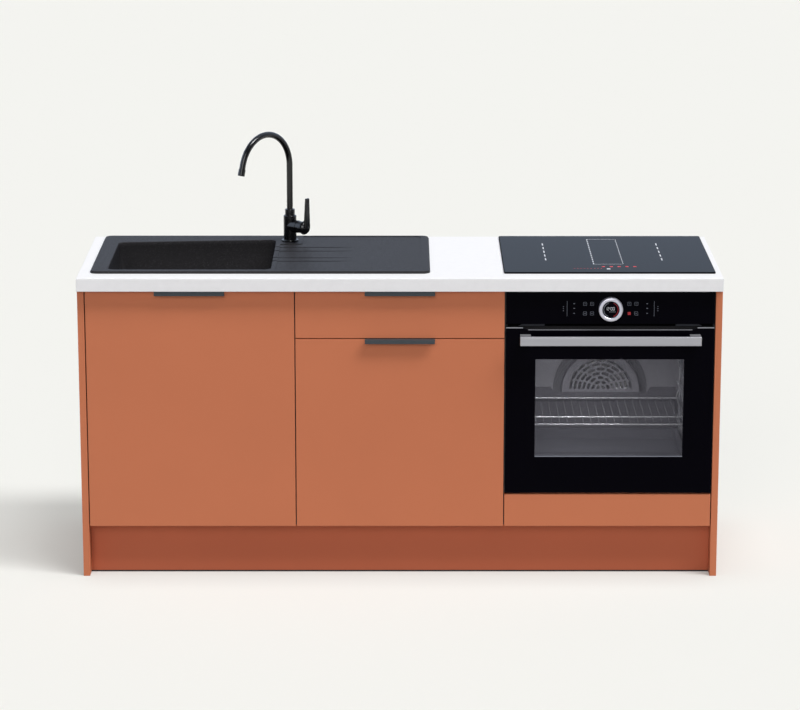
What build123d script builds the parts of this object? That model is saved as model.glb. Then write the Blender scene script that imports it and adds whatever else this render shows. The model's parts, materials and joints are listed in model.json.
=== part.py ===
from build123d import *
import math
import os

# Kitchen base run: sink bay, drawer bay and oven bay between two end panels, under one worktop.
# Millimetres, +X to the right seen from the front, +Y to the wall, +Z up, floor at zero.

# The run
BAY_WIDTH = 600.0
END_PANEL = 19.0
BOARD = 18.0
BACK_BOARD = 8.0
CARCASS_DEPTH = 555.0
CARCASS_HEIGHT = 700.0
LEG_HEIGHT = 150.0
WORKTOP_THICKNESS = 38.0
WORKTOP_OVERHANG = 20.0
WORKTOP_BACK_OVERHANG = 4.0
RAIL_HEIGHT = 100.0
SINK_RAIL_HEIGHT = 60.0
WALL_HOLE_RADIUS = 4.0
WALL_HOLE_SPACING = 400.0
EASE = 1.0
FITTING_GAP = 4.0

# Fronts, plinth and feet
FRONT_THICKNESS = 19.0
FRONT_GAP = 3.0
FRONT_BOTTOM_GAP = 1.0
BUMPER_GAP = 2.0
CUTLERY_FRONT_HEIGHT = 137.0
FILLER_HEIGHT = 96.0
PLINTH_THICKNESS = 16.0
PLINTH_RECESS = 45.0
FOOT_INSET = 75.0
FOOT_STEM_RADIUS = 15.0

# Edge pulls
PULL_LENGTH = 200.0
PULL_SHEET = 1.5
PULL_REACH = 16.0
PULL_LIP = 12.0
PULL_GRIP = 12.0

# Door hinges
HINGE_SETBACK = 6.0
HINGE_PIN_RADIUS = 2.0
HINGE_EYE_RADIUS = 3.5
HINGE_INSET = 100.0
BRACKET_SHEET = 2.0
BRACKET_LENGTH = 60.0
BRACKET_NECK = 15.0
BRACKET_HALF = 22.0
RUNNING_CLEARANCE = 0.05

# Drawers
RUNNER_SPACE = 13.0
RUNNER_SHEET = 1.5
RUNNER_HEIGHT = 46.0
RUNNER_BACK_SPACE = 55.0
DRAWER_SIDE = 14.0
DRAWER_BOTTOM = 8.0
CUTLERY_BOX_HEIGHT = 80.0
DEEP_BOX_HEIGHT = 300.0
BOX_LIFT = 18.0
DEEP_BOX_LIFT = 34.0

# Sink
SINK_INSET = 34.0
SINK_WIDTH = 970.0
SINK_FRONT_INSET = 68.0
SINK_BACK_INSET = 17.0
SINK_CORNER = 20.0
SINK_LAP = 12.0
RIM_HEIGHT = 7.0
DECK_THICKNESS = 14.0
BOWL_INSET_LEFT = 47.0
BOWL_WIDTH = 468.0
BOWL_INSET_FRONT = 28.0
BOWL_INSET_BACK = 64.0
BOWL_SKEW = 38.0
BOWL_DEPTH = 190.0
BOWL_WALL = 8.0
BOWL_DRAFT = 12.0
BOWL_CORNER = 22.0
DRAINER_DEPTH = 1.6
DRAINER_BORDER = 23.0
GROOVE_WIDTH = 7.0
GROOVE_DEPTH = 4.0
GROOVE_LENGTH = 250.0
GROOVE_PLACES = (-93.0, -45.0, 51.0, 106.0)
WASTE_RADIUS = 45.0
WASTE_DROP = 80.0
WASTE_TO_FRONT = 6.5
TRAP_PIPE_RADIUS = 20.0
TRAP_NUT = 22.0
TRAP_NECK = 40.0
TRAP_DROP = 65.0
BOTTLE_RADIUS = 34.0
BOTTLE_TOP = 46.0
BOTTLE_LENGTH = 126.0
BOTTLE_CHAMFER = 7.0
OUTLET_BORE_DEPTH = 60.0

# Tap
TAP_FROM_BOWL = 42.0
TAP_FROM_BACK = 80.0
TAP_BODY_RADIUS = 19.2
TAP_BODY_HEIGHT = 73.0
TAP_SHANK_RADIUS = 15.0
SPOUT_RADIUS = 9.0
SPOUT_ARC_RADIUS = 103.5
SPOUT_ARC_ANGLE = 165.0
SPOUT_YAW = 50.0
SPOUT_SPRING = 230.0
LEVER_FROM_SPOUT = 90.0
LEVER_AXIS_HEIGHT = 47.0
LEVER_HEIGHT = 90.0
LEVER_TIP = (8.5, 15.0)
BOSS_RADIUS = 18.6
BOSS_REACH = 14.0
DOME_RADIUS = 17.5
DOME_REACH = 18.0
CUP_WALL = 3.8

# Hob
HOB_WIDTH = 602.0
HOB_DEPTH = 520.0
HOB_GLASS = 4.5
HOB_LAP = 23.0
HOB_CASING_DEPTH = 50.0
HOB_CLEARANCE = 2.0
COIL_SPACING_X = 270.0
COIL_SPACING_Y = 224.0
COIL_SMALL = 72.0
COIL_MEDIUM = 90.0
COIL_LARGE = 105.0
COIL_THICKNESS = 7.0
COIL_TOP_GAP = 4.0
COIL_POST = 14.0

# Oven
OVEN_SIDE_GAP = 3.0
OVEN_TOP_GAP = 5.0
OVEN_PROUD = 2.0
OVEN_FASCIA_HEIGHT = 93.0
OVEN_VENT_GAP = 9.5
OVEN_FLANGE = 2.0
OVEN_CASING_CLEARANCE = 2.0
OVEN_CASING_TOP_GAP = 24.0
OVEN_CASING_DEPTH = 524.0
OVEN_SHEET = 2.0
CAVITY_SIDE = 40.0
CAVITY_FLOOR = 50.0
CAVITY_HEIGHT = 357.0
CAVITY_DEPTH = 400.0
CAVITY_WALL = 3.0
WINDOW_SIDE = 84.5
WINDOW_BOTTOM = 107.6
WINDOW_HEIGHT = 289.0
OVEN_GLASS = 4.0
INNER_GLASS = 4.0
INNER_GLASS_GAP = 1.0
DOOR_DIP = 5.5
DOOR_DIP_WIDTH = 468.0
OVEN_PIVOT_LIFT = 9.5
OVEN_HANDLE_REACH = 38.0
OVEN_HANDLE_LENGTH = 516.0
OVEN_HANDLE_HEIGHT = 26.0
OVEN_HANDLE_DROP = 20.5
KNOB_RADIUS = 34.5
KNOB_BORE = 24.5
KNOB_REACH = 18.0
FAN_LIFT = 160.0
FAN_COVER_RADIUS = 115.0
FAN_COVER_RIM = 24.0
FAN_COVER_SHEET = 1.5
SLOT_FIRST = 10.8
SLOT_PITCH = 13.3
SLOT_WIDTH = 8.5
SLOT_BAR = 4.5
SLOT_COUNTS = (2, 4, 5, 6, 7, 8, 9)
FAN_COVER_DEPTH = 35.0
FAN_RADIUS = 88.0
FAN_HUB = 12.0
FAN_SHAFT = 4.0
FAN_DISC = 14.0
FAN_SHEET = 1.5
FAN_BLADE_INNER = 34.0
FAN_BLADE_DEPTH = 13.5
MOTOR_RADIUS = 32.0
MOTOR_LENGTH = 50.0
SHAFT_LENGTH = 25.0
ELEMENT_RADIUS = 4.0
ELEMENT_DROP = 18.0
ELEMENT_BEND = 35.0
ELEMENT_OUTER_HALF = 150.0
ELEMENT_OUTER_FRONT = 80.0
ELEMENT_INNER_HALF = 70.0
ELEMENT_INNER_FRONT = 150.0
WIRE_RADIUS = 2.5
TRAY_LIFT = 41.3
TRAY_DEPTH = 28.0
TRAY_SHEET = 1.5
TRAY_RIM = 14.0
SHELF_LIFT = 134.0
SHELF_BAR = 90.0
SHELF_WIRES = 20
LOW_RUNNER_STEP = 47.0
RUNNER_STEP = 60.0
RACK_LIFT = 30.0
RACK_HEADROOM = 60.0
RACK_FRONT = 40.0

# Places that follow from the sizes
HALF_RUN = 1.5 * BAY_WIDTH + END_PANEL
WORKTOP_DEPTH = WORKTOP_OVERHANG + FRONT_THICKNESS + BUMPER_GAP + CARCASS_DEPTH + WORKTOP_BACK_OVERHANG
FRONT_REACH = OVEN_PROUD + OVEN_HANDLE_REACH
FRONT = FRONT_REACH - (FRONT_REACH + WORKTOP_DEPTH - WORKTOP_OVERHANG) / 2
FRONT_BACK = FRONT + FRONT_THICKNESS
CARCASS_FRONT = FRONT_BACK + BUMPER_GAP
CARCASS_BACK = CARCASS_FRONT + CARCASS_DEPTH
CARCASS_TOP = LEG_HEIGHT + CARCASS_HEIGHT
WORKTOP_TOP = CARCASS_TOP + WORKTOP_THICKNESS
WORKTOP_FRONT = FRONT - WORKTOP_OVERHANG
WORKTOP_BACK = WORKTOP_FRONT + WORKTOP_DEPTH
FRONT_LOW = LEG_HEIGHT + FRONT_BOTTOM_GAP
FRONT_HIGH = CARCASS_TOP - FRONT_GAP
SINK_BAY, DRAWER_BAY, OVEN_BAY = -BAY_WIDTH, 0.0, BAY_WIDTH
INNER_HALF = BAY_WIDTH / 2 - BOARD
DEEP_FRONT_TOP = FRONT_HIGH - CUTLERY_FRONT_HEIGHT - FRONT_GAP
RAIL_FRONT = CARCASS_BACK - BOARD
FOOT_RADIUS = FOOT_STEM_RADIUS + 13.0


def block(x, y, z):
    """Box between (low, high) pairs on each axis."""
    spans = (x, y, z)
    size = [high - low for low, high in spans]
    middle = [(high + low) / 2 for low, high in spans]
    return Pos(*middle) * Box(*size)


def eased(x, y, z, radius=EASE):
    """Box with every edge rounded."""
    box = block(x, y, z)
    return fillet(box.edges(), radius)


def plate(x, y, z, corner):
    """Flat plate with rounded corners in plan."""
    outline = RectangleRounded(x[1] - x[0], y[1] - y[0], corner)
    return Pos((x[0] + x[1]) / 2, (y[0] + y[1]) / 2, z[0]) * extrude(outline, amount=z[1] - z[0])


def rod(start, end, radius):
    """Round bar between two points."""
    start, end = Vector(*start), Vector(*end)
    return Solid.make_cylinder(radius, (end - start).length, Plane(origin=start, z_dir=end - start))


def turned(points):
    """Turned part about the Z axis from (radius, height) points."""
    return revolve(make_face(Plane.XZ * Polyline(*points, close=True)), Axis.Z)


def facing(x, y, z, solid):
    """Set a part turned about Z so that its top looks to the front."""
    return Pos(x, y, z) * Rot(X=90) * solid


def upright(points, y):
    """Outline given in X and Z, extruded from y[0] to y[1]."""
    outline = make_face(Plane.XZ * Polyline(*points, close=True))
    return Pos(0, y[1], 0) * extrude(outline, amount=y[1] - y[0])


def group(solids):
    """Several solids in one file."""
    return Compound(children=list(solids))


def mirrored(solid, x=0.0):
    """Copy reflected in the upright plane at x."""
    return mirror(solid, about=Plane.YZ.offset(x))


# Carcasses and base

def fitted(board):
    """Board notched wherever the sink bowl or the hob casing would touch it."""
    gap = BOWL_WALL + FITTING_GAP
    x = (BOWL_X[0] - gap, BOWL_X[1] + gap)
    y = (BOWL_Y[0] - gap, BOWL_Y[1] + gap)
    board -= block(x, y, (BOWL_FLOOR - gap, WORKTOP_TOP))
    x, y = hob_span(HOB_CLEARANCE - FITTING_GAP)
    return board - block(x, y, (WORKTOP_TOP - HOB_CASING_DEPTH - FITTING_GAP, WORKTOP_TOP))


def end_panel(side):
    inner, outer = 1.5 * BAY_WIDTH, HALF_RUN
    x = (inner, outer) if side > 0 else (-outer, -inner)
    return fitted(eased(x, (FRONT, CARCASS_BACK), (0, CARCASS_TOP), 0.8))


def carcass_sides():
    z = (LEG_HEIGHT, CARCASS_TOP)
    y = (CARCASS_FRONT, CARCASS_BACK)
    sides = []
    for bay in (SINK_BAY, DRAWER_BAY, OVEN_BAY):
        sides.append(fitted(block((bay - BAY_WIDTH / 2, bay - INNER_HALF), y, z)))
        sides.append(fitted(block((bay + INNER_HALF, bay + BAY_WIDTH / 2), y, z)))
    return group(sides)


def carcass_bottoms():
    base = (LEG_HEIGHT, LEG_HEIGHT + BOARD)
    boards = []
    for bay, front in ((SINK_BAY, CARCASS_FRONT), (DRAWER_BAY, CARCASS_FRONT), (OVEN_BAY, FRONT_BACK)):
        boards.append(block((bay - INNER_HALF, bay + INNER_HALF), (front, CARCASS_BACK), base))
    shelf = (OVEN_LOW - OVEN_SHEET - BOARD, OVEN_LOW - OVEN_SHEET)
    x = (OVEN_BAY - INNER_HALF, OVEN_BAY + INNER_HALF)
    boards.append(block(x, (FRONT_BACK, CARCASS_BACK), shelf))
    return group(boards)


def top_rail(bay, back):
    z = (CARCASS_TOP - RAIL_HEIGHT, CARCASS_TOP)
    return block((bay - INNER_HALF, bay + INNER_HALF), (back - BOARD, back), z)


def wall_rail(bay, back):
    """Top rail at the back with two holes for fixing the unit to a wall."""
    rail = top_rail(bay, back)
    for side in (-1, 1):
        x = bay + side * WALL_HOLE_SPACING / 2
        z = CARCASS_TOP - RAIL_HEIGHT / 2
        rail -= rod((x, back - BOARD - 1, z), (x, back + 1, z), WALL_HOLE_RADIUS)
    return rail


def carcass_rails():
    x = (SINK_BAY - INNER_HALF, SINK_BAY + INNER_HALF)
    low = LEG_HEIGHT + BOARD
    rails = [wall_rail(SINK_BAY, CARCASS_BACK), wall_rail(OVEN_BAY, CARCASS_BACK)]
    rails.append(top_rail(DRAWER_BAY, CARCASS_BACK - BACK_BOARD))
    rails.append(block(x, (RAIL_FRONT, CARCASS_BACK), (low, low + RAIL_HEIGHT)))
    front = (CARCASS_FRONT, CARCASS_FRONT + BOARD)
    rails.append(block(x, front, (CARCASS_TOP - SINK_RAIL_HEIGHT, CARCASS_TOP)))
    top = (CARCASS_TOP - BOARD, CARCASS_TOP)
    rails.append(block((-INNER_HALF, INNER_HALF), (CARCASS_FRONT, CARCASS_FRONT + RAIL_HEIGHT), top))
    return group(fitted(rail) for rail in rails)


def drawer_unit_back():
    z = (LEG_HEIGHT + BOARD, CARCASS_TOP)
    return block((-INNER_HALF, INNER_HALF), (CARCASS_BACK - BACK_BOARD, CARCASS_BACK), z)


def foot_places(front_only=False):
    rows = [CARCASS_FRONT + FOOT_INSET]
    if not front_only:
        rows.append(CARCASS_BACK - FOOT_INSET)
    for bay in (SINK_BAY, DRAWER_BAY, OVEN_BAY):
        for side in (-1, 1):
            for y in rows:
                yield bay + side * (BAY_WIDTH / 2 - FOOT_INSET), y


def levelling_feet():
    top = LEG_HEIGHT
    profile = [(0, 0), (FOOT_RADIUS, 0), (FOOT_RADIUS, 6), (FOOT_STEM_RADIUS, 16)]
    profile += [(FOOT_STEM_RADIUS, top - 14), (FOOT_RADIUS, top - 5), (FOOT_RADIUS, top), (0, top)]
    foot = turned(profile)
    return group(Pos(x, y, 0) * foot for x, y in foot_places())


PLINTH_FRONT = FRONT + PLINTH_RECESS
PLINTH_BACK = PLINTH_FRONT + PLINTH_THICKNESS


def plinth():
    half = 1.5 * BAY_WIDTH - 0.5
    return block((-half, half), (PLINTH_FRONT, PLINTH_BACK), (0, LEG_HEIGHT - 0.5))


def plinth_clips():
    clips = []
    middle = LEG_HEIGHT / 2
    for x, y in foot_places(front_only=True):
        arm = block((x - 13, x + 13), (PLINTH_BACK, y), (middle - 11, middle + 11))
        clips.append(arm - rod((x, y, middle - 20), (x, y, middle + 20), FOOT_STEM_RADIUS + 0.3))
    return group(clips)


# Sink and hob cut-outs, shared by the worktop and what is set into it
RIM_TOP = WORKTOP_TOP + RIM_HEIGHT
DECK_LOW = RIM_TOP - DECK_THICKNESS
SINK_X = (-HALF_RUN + SINK_INSET, -HALF_RUN + SINK_INSET + SINK_WIDTH)
SINK_Y = (WORKTOP_FRONT + SINK_FRONT_INSET, WORKTOP_BACK - SINK_BACK_INSET)
SINK_CUT_X = (SINK_X[0] + SINK_LAP, SINK_X[1] - SINK_LAP)
SINK_CUT_Y = (SINK_Y[0] + SINK_LAP, SINK_Y[1] - SINK_LAP)
HOB_MIDDLE_Y = (WORKTOP_FRONT + SINK_FRONT_INSET + WORKTOP_BACK - SINK_BACK_INSET + 5.0) / 2
HOB_HALF_X = HOB_WIDTH / 2 - HOB_LAP
HOB_HALF_Y = HOB_DEPTH / 2 - HOB_LAP + 6.0


def hob_span(inset):
    x = (OVEN_BAY - HOB_HALF_X + inset, OVEN_BAY + HOB_HALF_X - inset)
    y = (HOB_MIDDLE_Y - HOB_HALF_Y + inset, HOB_MIDDLE_Y + HOB_HALF_Y - inset)
    return x, y


def worktop():
    slab = eased((-HALF_RUN, HALF_RUN), (WORKTOP_FRONT, WORKTOP_BACK), (CARCASS_TOP, WORKTOP_TOP), 1.5)
    cut = (CARCASS_TOP - 1, WORKTOP_TOP + 1)
    slab -= plate(SINK_CUT_X, SINK_CUT_Y, cut, SINK_CORNER - 6)
    x, y = hob_span(0.0)
    slab -= plate(x, y, cut, 6.0)
    return slab


# Oven heights, shared by the panel below it and the shelf it stands on
OVEN_LOW = FRONT_LOW + FILLER_HEIGHT + FRONT_GAP + OVEN_SHEET
OVEN_HIGH = CARCASS_TOP - OVEN_TOP_GAP
OVEN_HALF = BAY_WIDTH / 2 - OVEN_SIDE_GAP
OVEN_FACE = FRONT - OVEN_PROUD


def oven_filler_panel():
    x = (OVEN_BAY - BAY_WIDTH / 2 + FRONT_GAP / 2, OVEN_BAY + BAY_WIDTH / 2 - FRONT_GAP)
    return eased(x, (FRONT, FRONT_BACK), (FRONT_LOW, FRONT_LOW + FILLER_HEIGHT))


# Sink door

DOOR_X = (-1.5 * BAY_WIDTH + FRONT_GAP, -0.5 * BAY_WIDTH - FRONT_GAP / 2)
PIVOT_X = DOOR_X[0] + HINGE_SETBACK
PIVOT_Y = FRONT + HINGE_SETBACK
HINGE_HALF = 6.0


def hinge_heights():
    return (FRONT_LOW + HINGE_INSET, FRONT_HIGH - HINGE_INSET)


def sink_door():
    door = eased(DOOR_X, (FRONT, FRONT_BACK), (FRONT_LOW, FRONT_HIGH))
    room = HINGE_EYE_RADIUS + 0.5
    for z in hinge_heights():
        notch_z = (z - HINGE_HALF - 0.5, z + HINGE_HALF + 0.5)
        door -= block((DOOR_X[0] - 5, PIVOT_X + room), (PIVOT_Y - room - 0.5, FRONT_BACK + 5), notch_z)
        bore = HINGE_PIN_RADIUS + RUNNING_CLEARANCE
        door -= rod((PIVOT_X, PIVOT_Y, z - HINGE_HALF - 9), (PIVOT_X, PIVOT_Y, z + HINGE_HALF + 9), bore)
    return door


def door_hinge_brackets():
    brackets = []
    wall = SINK_BAY - INNER_HALF
    eye = HINGE_EYE_RADIUS
    jog = FRONT_BACK + 0.3
    for z in hinge_heights():
        span = (z - HINGE_HALF, z + HINGE_HALF)
        part = rod((PIVOT_X, PIVOT_Y, span[0]), (PIVOT_X, PIVOT_Y, span[1]), eye)
        part += block((PIVOT_X - eye + 0.5, PIVOT_X + eye - 0.5), (PIVOT_Y, CARCASS_FRONT), span)
        arm = (wall, wall + BRACKET_SHEET)
        end = CARCASS_FRONT + BRACKET_LENGTH
        part += block((PIVOT_X - eye + 0.5, arm[1]), (jog, CARCASS_FRONT), span)
        part += block(arm, (jog, end), span)
        part += block(arm, (CARCASS_FRONT + BRACKET_NECK, end), (z - BRACKET_HALF, z + BRACKET_HALF))
        part += rod((PIVOT_X, PIVOT_Y, z - HINGE_HALF - 8), (PIVOT_X, PIVOT_Y, z + HINGE_HALF + 8), HINGE_PIN_RADIUS)
        brackets.append(part)
    return group(brackets)


def edge_pull(x, top):
    """Folded strip on the top edge of a front, with a lip hanging clear of its face."""
    half = PULL_LENGTH / 2
    lip = FRONT - PULL_REACH
    cover = eased((x - half, x + half), (lip, FRONT + PULL_GRIP), (top, top + PULL_SHEET), 0.4)
    skirt = eased((x - half, x + half), (lip, lip + PULL_SHEET), (top + PULL_SHEET - PULL_LIP, top + PULL_SHEET), 0.4)
    return cover + skirt


# Drawers

DRAWER_HALF = INNER_HALF - RUNNER_SPACE
DRAWER_FRONT_X = (-0.5 * BAY_WIDTH + FRONT_GAP / 2, 0.5 * BAY_WIDTH - FRONT_GAP / 2)
RUNNER_Y = (CARCASS_FRONT + 4.0, CARCASS_BACK - RUNNER_BACK_SPACE)
BOX_Y = (FRONT_BACK, CARCASS_BACK - RUNNER_BACK_SPACE)
CUTLERY_LOW = DEEP_FRONT_TOP + FRONT_GAP + BOX_LIFT
DEEP_LOW = FRONT_LOW + DEEP_BOX_LIFT
CUTLERY_RUNNER = CUTLERY_LOW + CUTLERY_BOX_HEIGHT / 2
DEEP_RUNNER = DEEP_LOW + CUTLERY_BOX_HEIGHT / 2


def drawer_box(low, height):
    sides = (low, low + height)
    inner = DRAWER_HALF - DRAWER_SIDE
    floor = (low + DRAWER_BOTTOM, low + 2 * DRAWER_BOTTOM)
    back = (BOX_Y[1] - DRAWER_SIDE, BOX_Y[1])
    parts = [block((-DRAWER_HALF, -inner), BOX_Y, sides), block((inner, DRAWER_HALF), BOX_Y, sides)]
    parts.append(block((-inner, inner), (BOX_Y[0], back[0]), floor))
    parts.append(block((-inner, inner), back, sides))
    return group(parts)


def channel(reach, web, half, z):
    """C-shaped rail on the right: web outside, two flanges towards the drawer."""
    t = RUNNER_SHEET
    rail = block((web - t, web), RUNNER_Y, (z - half, z + half))
    rail += block((web - reach, web), RUNNER_Y, (z + half - t, z + half))
    rail += block((web - reach, web), RUNNER_Y, (z - half, z - half + t))
    return rail


def runner_rails():
    rails = []
    for z in (CUTLERY_RUNNER, DEEP_RUNNER):
        rail = channel(RUNNER_SPACE - 2, INNER_HALF, RUNNER_HEIGHT / 2, z)
        rails += [rail, mirrored(rail)]
    return group(rails)


def runner_middles(z):
    rail = channel(RUNNER_SPACE - 3.5, INNER_HALF - RUNNER_SHEET - 0.5, RUNNER_HEIGHT / 2 - RUNNER_SHEET - 0.5, z)
    return group([rail, mirrored(rail)])


def runner_slides(z):
    half = RUNNER_HEIGHT / 2 - 2 * RUNNER_SHEET - 1.0
    bar = block((DRAWER_HALF, INNER_HALF - 2 * RUNNER_SHEET - 1.0), RUNNER_Y, (z - half, z + half))
    return group([bar, mirrored(bar)])


# Sink

BOWL_X = (SINK_X[0] + BOWL_INSET_LEFT, SINK_X[0] + BOWL_INSET_LEFT + BOWL_WIDTH)
BOWL_Y = (SINK_Y[0] + BOWL_INSET_FRONT, SINK_Y[1] - BOWL_INSET_BACK)
BOWL_FLOOR = RIM_TOP - BOWL_DEPTH
WASTE_X = (BOWL_X[0] + BOWL_X[1]) / 2
WASTE_Y = (BOWL_Y[0] + BOWL_Y[1] - BOWL_SKEW / 2) / 2 - WASTE_TO_FRONT
TAP_X = BOWL_X[1] + TAP_FROM_BOWL
TAP_Y = SINK_Y[1] - TAP_FROM_BACK


def bowl_section(inset, z):
    left, right = BOWL_X[0] + inset, BOWL_X[1] - inset
    front, back = BOWL_Y[0] + inset, BOWL_Y[1] - inset
    outline = Polyline((left, front), (right, front), (right, back), (left, back - BOWL_SKEW), close=True)
    face = make_face(outline)
    return Pos(0, 0, z) * fillet(face.vertices(), BOWL_CORNER)


def groove(y):
    """Wedge that fades out away from the bowl."""
    start, end = BOWL_X[1] - 3.0, BOWL_X[1] + GROOVE_LENGTH
    top = RIM_TOP + 0.2
    points = [(start, top), (start, top - GROOVE_DEPTH - DRAINER_DEPTH), (end, top - DRAINER_DEPTH), (end, top)]
    return upright(points, (y - GROOVE_WIDTH / 2, y + GROOVE_WIDTH / 2))


def sink():
    rim = plate(SINK_X, SINK_Y, (WORKTOP_TOP, RIM_TOP), SINK_CORNER)
    rim = fillet(rim.edges().group_by(Axis.Z)[-1], 2.5)
    deck_x = (SINK_CUT_X[0] + 1.5, SINK_CUT_X[1] - 1.5)
    deck_y = (SINK_CUT_Y[0] + 1.5, SINK_CUT_Y[1] - 1.5)
    body = rim + plate(deck_x, deck_y, (DECK_LOW, WORKTOP_TOP), SINK_CORNER - 7)
    body += loft([bowl_section(-BOWL_WALL, DECK_LOW), bowl_section(BOWL_DRAFT - BOWL_WALL, BOWL_FLOOR - BOWL_WALL)])
    hollow = loft([bowl_section(0.0, RIM_TOP), bowl_section(BOWL_DRAFT, BOWL_FLOOR)])
    hollow = fillet(hollow.edges().group_by(Axis.Z)[0], 14)
    body -= hollow
    lip = body.edges().filter_by_position(Axis.Z, RIM_TOP - 0.01, RIM_TOP + 0.01)
    lip = lip.filter_by_position(Axis.X, BOWL_X[0] - 1, BOWL_X[1] + 1)
    lip = lip.filter_by_position(Axis.Y, BOWL_Y[0] - 1, BOWL_Y[1] + 1)
    body = fillet(lip, 3)
    recess_x = (BOWL_X[1] + 14, SINK_X[1] - DRAINER_BORDER)
    recess_y = (SINK_Y[0] + 12, SINK_Y[1] - 12)
    recess = plate(recess_x, recess_y, (RIM_TOP - DRAINER_DEPTH, RIM_TOP + 5), 14)
    land = plate((recess_x[0] - 30, TAP_X + 38), (TAP_Y - 48, recess_y[1] + 30), (RIM_TOP - 5, RIM_TOP + 9), 14)
    body -= recess - land
    middle = (BOWL_Y[0] + BOWL_Y[1]) / 2
    for offset in GROOVE_PLACES:
        body -= groove(middle + offset)
    body -= rod((TAP_X, TAP_Y, DECK_LOW - 5), (TAP_X, TAP_Y, RIM_TOP + 5), TAP_SHANK_RADIUS + 2.5)
    body -= rod((WASTE_X, WASTE_Y, BOWL_FLOOR - 20), (WASTE_X, WASTE_Y, BOWL_FLOOR + 5), WASTE_RADIUS)
    return body


WASTE_LOW = BOWL_FLOOR - WASTE_DROP


def sink_waste():
    r, top, low = WASTE_RADIUS, BOWL_FLOOR, WASTE_LOW
    pipe = TRAP_PIPE_RADIUS
    cup = [(r + 11, top), (r + 11, top + 2), (r - 3, top + 2), (r - 3, top - 45), (pipe - 3, top - 50)]
    cup += [(pipe - 3, low), (pipe, low), (pipe, top - 53), (r - 0.5, top - 48), (r - 0.5, top)]
    under = top - BOWL_WALL
    nut = [(r + 0.3, under - 12), (r + 12, under - 12), (r + 12, under), (r + 0.3, under)]
    place = Pos(WASTE_X, WASTE_Y, 0)
    return group([place * turned(cup), place * turned(nut)])


def basket_strainer():
    r, top = WASTE_RADIUS, BOWL_FLOOR + 2.0
    cup = [(0, top - 36), (r - 9, top - 36), (r - 6, top - 2), (r - 6, top + 0.4), (r + 6, top + 0.4), (r + 6, top + 2)]
    cup += [(r - 8, top + 2), (r - 11, top - 34), (6, top - 34), (6, top - 8), (11, top - 4), (11, top), (0, top)]
    basket = turned(cup)
    for ring, count in ((0.34 * r, 8), (0.6 * r, 14)):
        for i in range(count):
            angle = 2 * math.pi * i / count
            x, y = ring * math.cos(angle), ring * math.sin(angle)
            basket -= rod((x, y, top - 38), (x, y, top - 32), 2.4)
    return Pos(WASTE_X, WASTE_Y, 0) * basket


TRAP_OUT = WASTE_LOW - TRAP_DROP


def waste_trap():
    pipe, low = TRAP_PIPE_RADIUS, WASTE_LOW
    wide, base = BOTTLE_RADIUS, low - BOTTLE_LENGTH
    inlet = [(0, low), (pipe + 6, low), (pipe + 6, low - TRAP_NUT), (pipe, low - TRAP_NUT), (pipe, low - TRAP_NECK)]
    bottle = [(wide, low - BOTTLE_TOP), (wide, base + BOTTLE_CHAMFER), (wide - BOTTLE_CHAMFER, base), (0, base)]
    trap = Pos(WASTE_X, WASTE_Y, 0) * turned(inlet + bottle)
    end = CARCASS_BACK - 6.0
    trap += rod((WASTE_X, WASTE_Y, TRAP_OUT), (WASTE_X, end, TRAP_OUT), pipe)
    trap += rod((WASTE_X, WASTE_Y + wide - 4, TRAP_OUT), (WASTE_X, WASTE_Y + wide + 28, TRAP_OUT), pipe + 6)
    trap -= rod((WASTE_X, end - OUTLET_BORE_DEPTH, TRAP_OUT), (WASTE_X, end + 1, TRAP_OUT), pipe - 3)
    return trap


# Tap

TAP_FLOOR = RIM_TOP + 5.0
TAP_TOP = TAP_FLOOR + TAP_BODY_HEIGHT
COLLAR_HEIGHT = 19.0
LEVER_Z = RIM_TOP + LEVER_AXIS_HEIGHT
BOSS_END = TAP_BODY_RADIUS + BOSS_REACH
DOME_X = BOSS_END + DOME_REACH
LEVER_TURN = SPOUT_YAW - LEVER_FROM_SPOUT
SOCKET = 22.0


def tap_base_ring():
    ring = turned([(TAP_SHANK_RADIUS + 0.4, 0), (25, 0), (25, 3.5), (23.5, 5), (TAP_SHANK_RADIUS + 0.4, 5)])
    return Pos(TAP_X, TAP_Y, RIM_TOP) * ring


def tap_body():
    r, shank = TAP_BODY_RADIUS, TAP_SHANK_RADIUS
    low = DECK_LOW - 22.0
    points = [(0, low), (shank, low), (shank, TAP_FLOOR), (r, TAP_FLOOR), (r, TAP_TOP - 1), (r - 1, TAP_TOP)]
    body = turned(points + [(0, TAP_TOP)])
    body += rod((0, 0, LEVER_Z), (BOSS_END, 0, LEVER_Z), BOSS_RADIUS)
    body -= rod((0, 0, TAP_TOP - SOCKET), (0, 0, TAP_TOP + 5), SPOUT_RADIUS + RUNNING_CLEARANCE)
    body -= rod((BOSS_END - 12, 0, LEVER_Z), (BOSS_END + 5, 0, LEVER_Z), 8 + RUNNING_CLEARANCE)
    return Pos(TAP_X, TAP_Y, 0) * Rot(Z=LEVER_TURN) * body


def tap_fixing_nut():
    inner = TAP_SHANK_RADIUS + 0.1
    nut = turned([(inner, DECK_LOW - 14), (20, DECK_LOW - 14), (20, DECK_LOW - 3), (25, DECK_LOW - 3),
                  (25, DECK_LOW), (inner, DECK_LOW)])
    return Pos(TAP_X, TAP_Y, 0) * nut


def tap_collar():
    bore, h = SPOUT_RADIUS + RUNNING_CLEARANCE, COLLAR_HEIGHT
    points = [(bore, 0), (14.7, 0), (14.7, 6), (13.9, 6.5), (13.9, 7.5), (14.7, 8), (14.7, h - 1), (13.7, h), (bore, h)]
    return Pos(TAP_X, TAP_Y, TAP_TOP) * turned(points)


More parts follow.
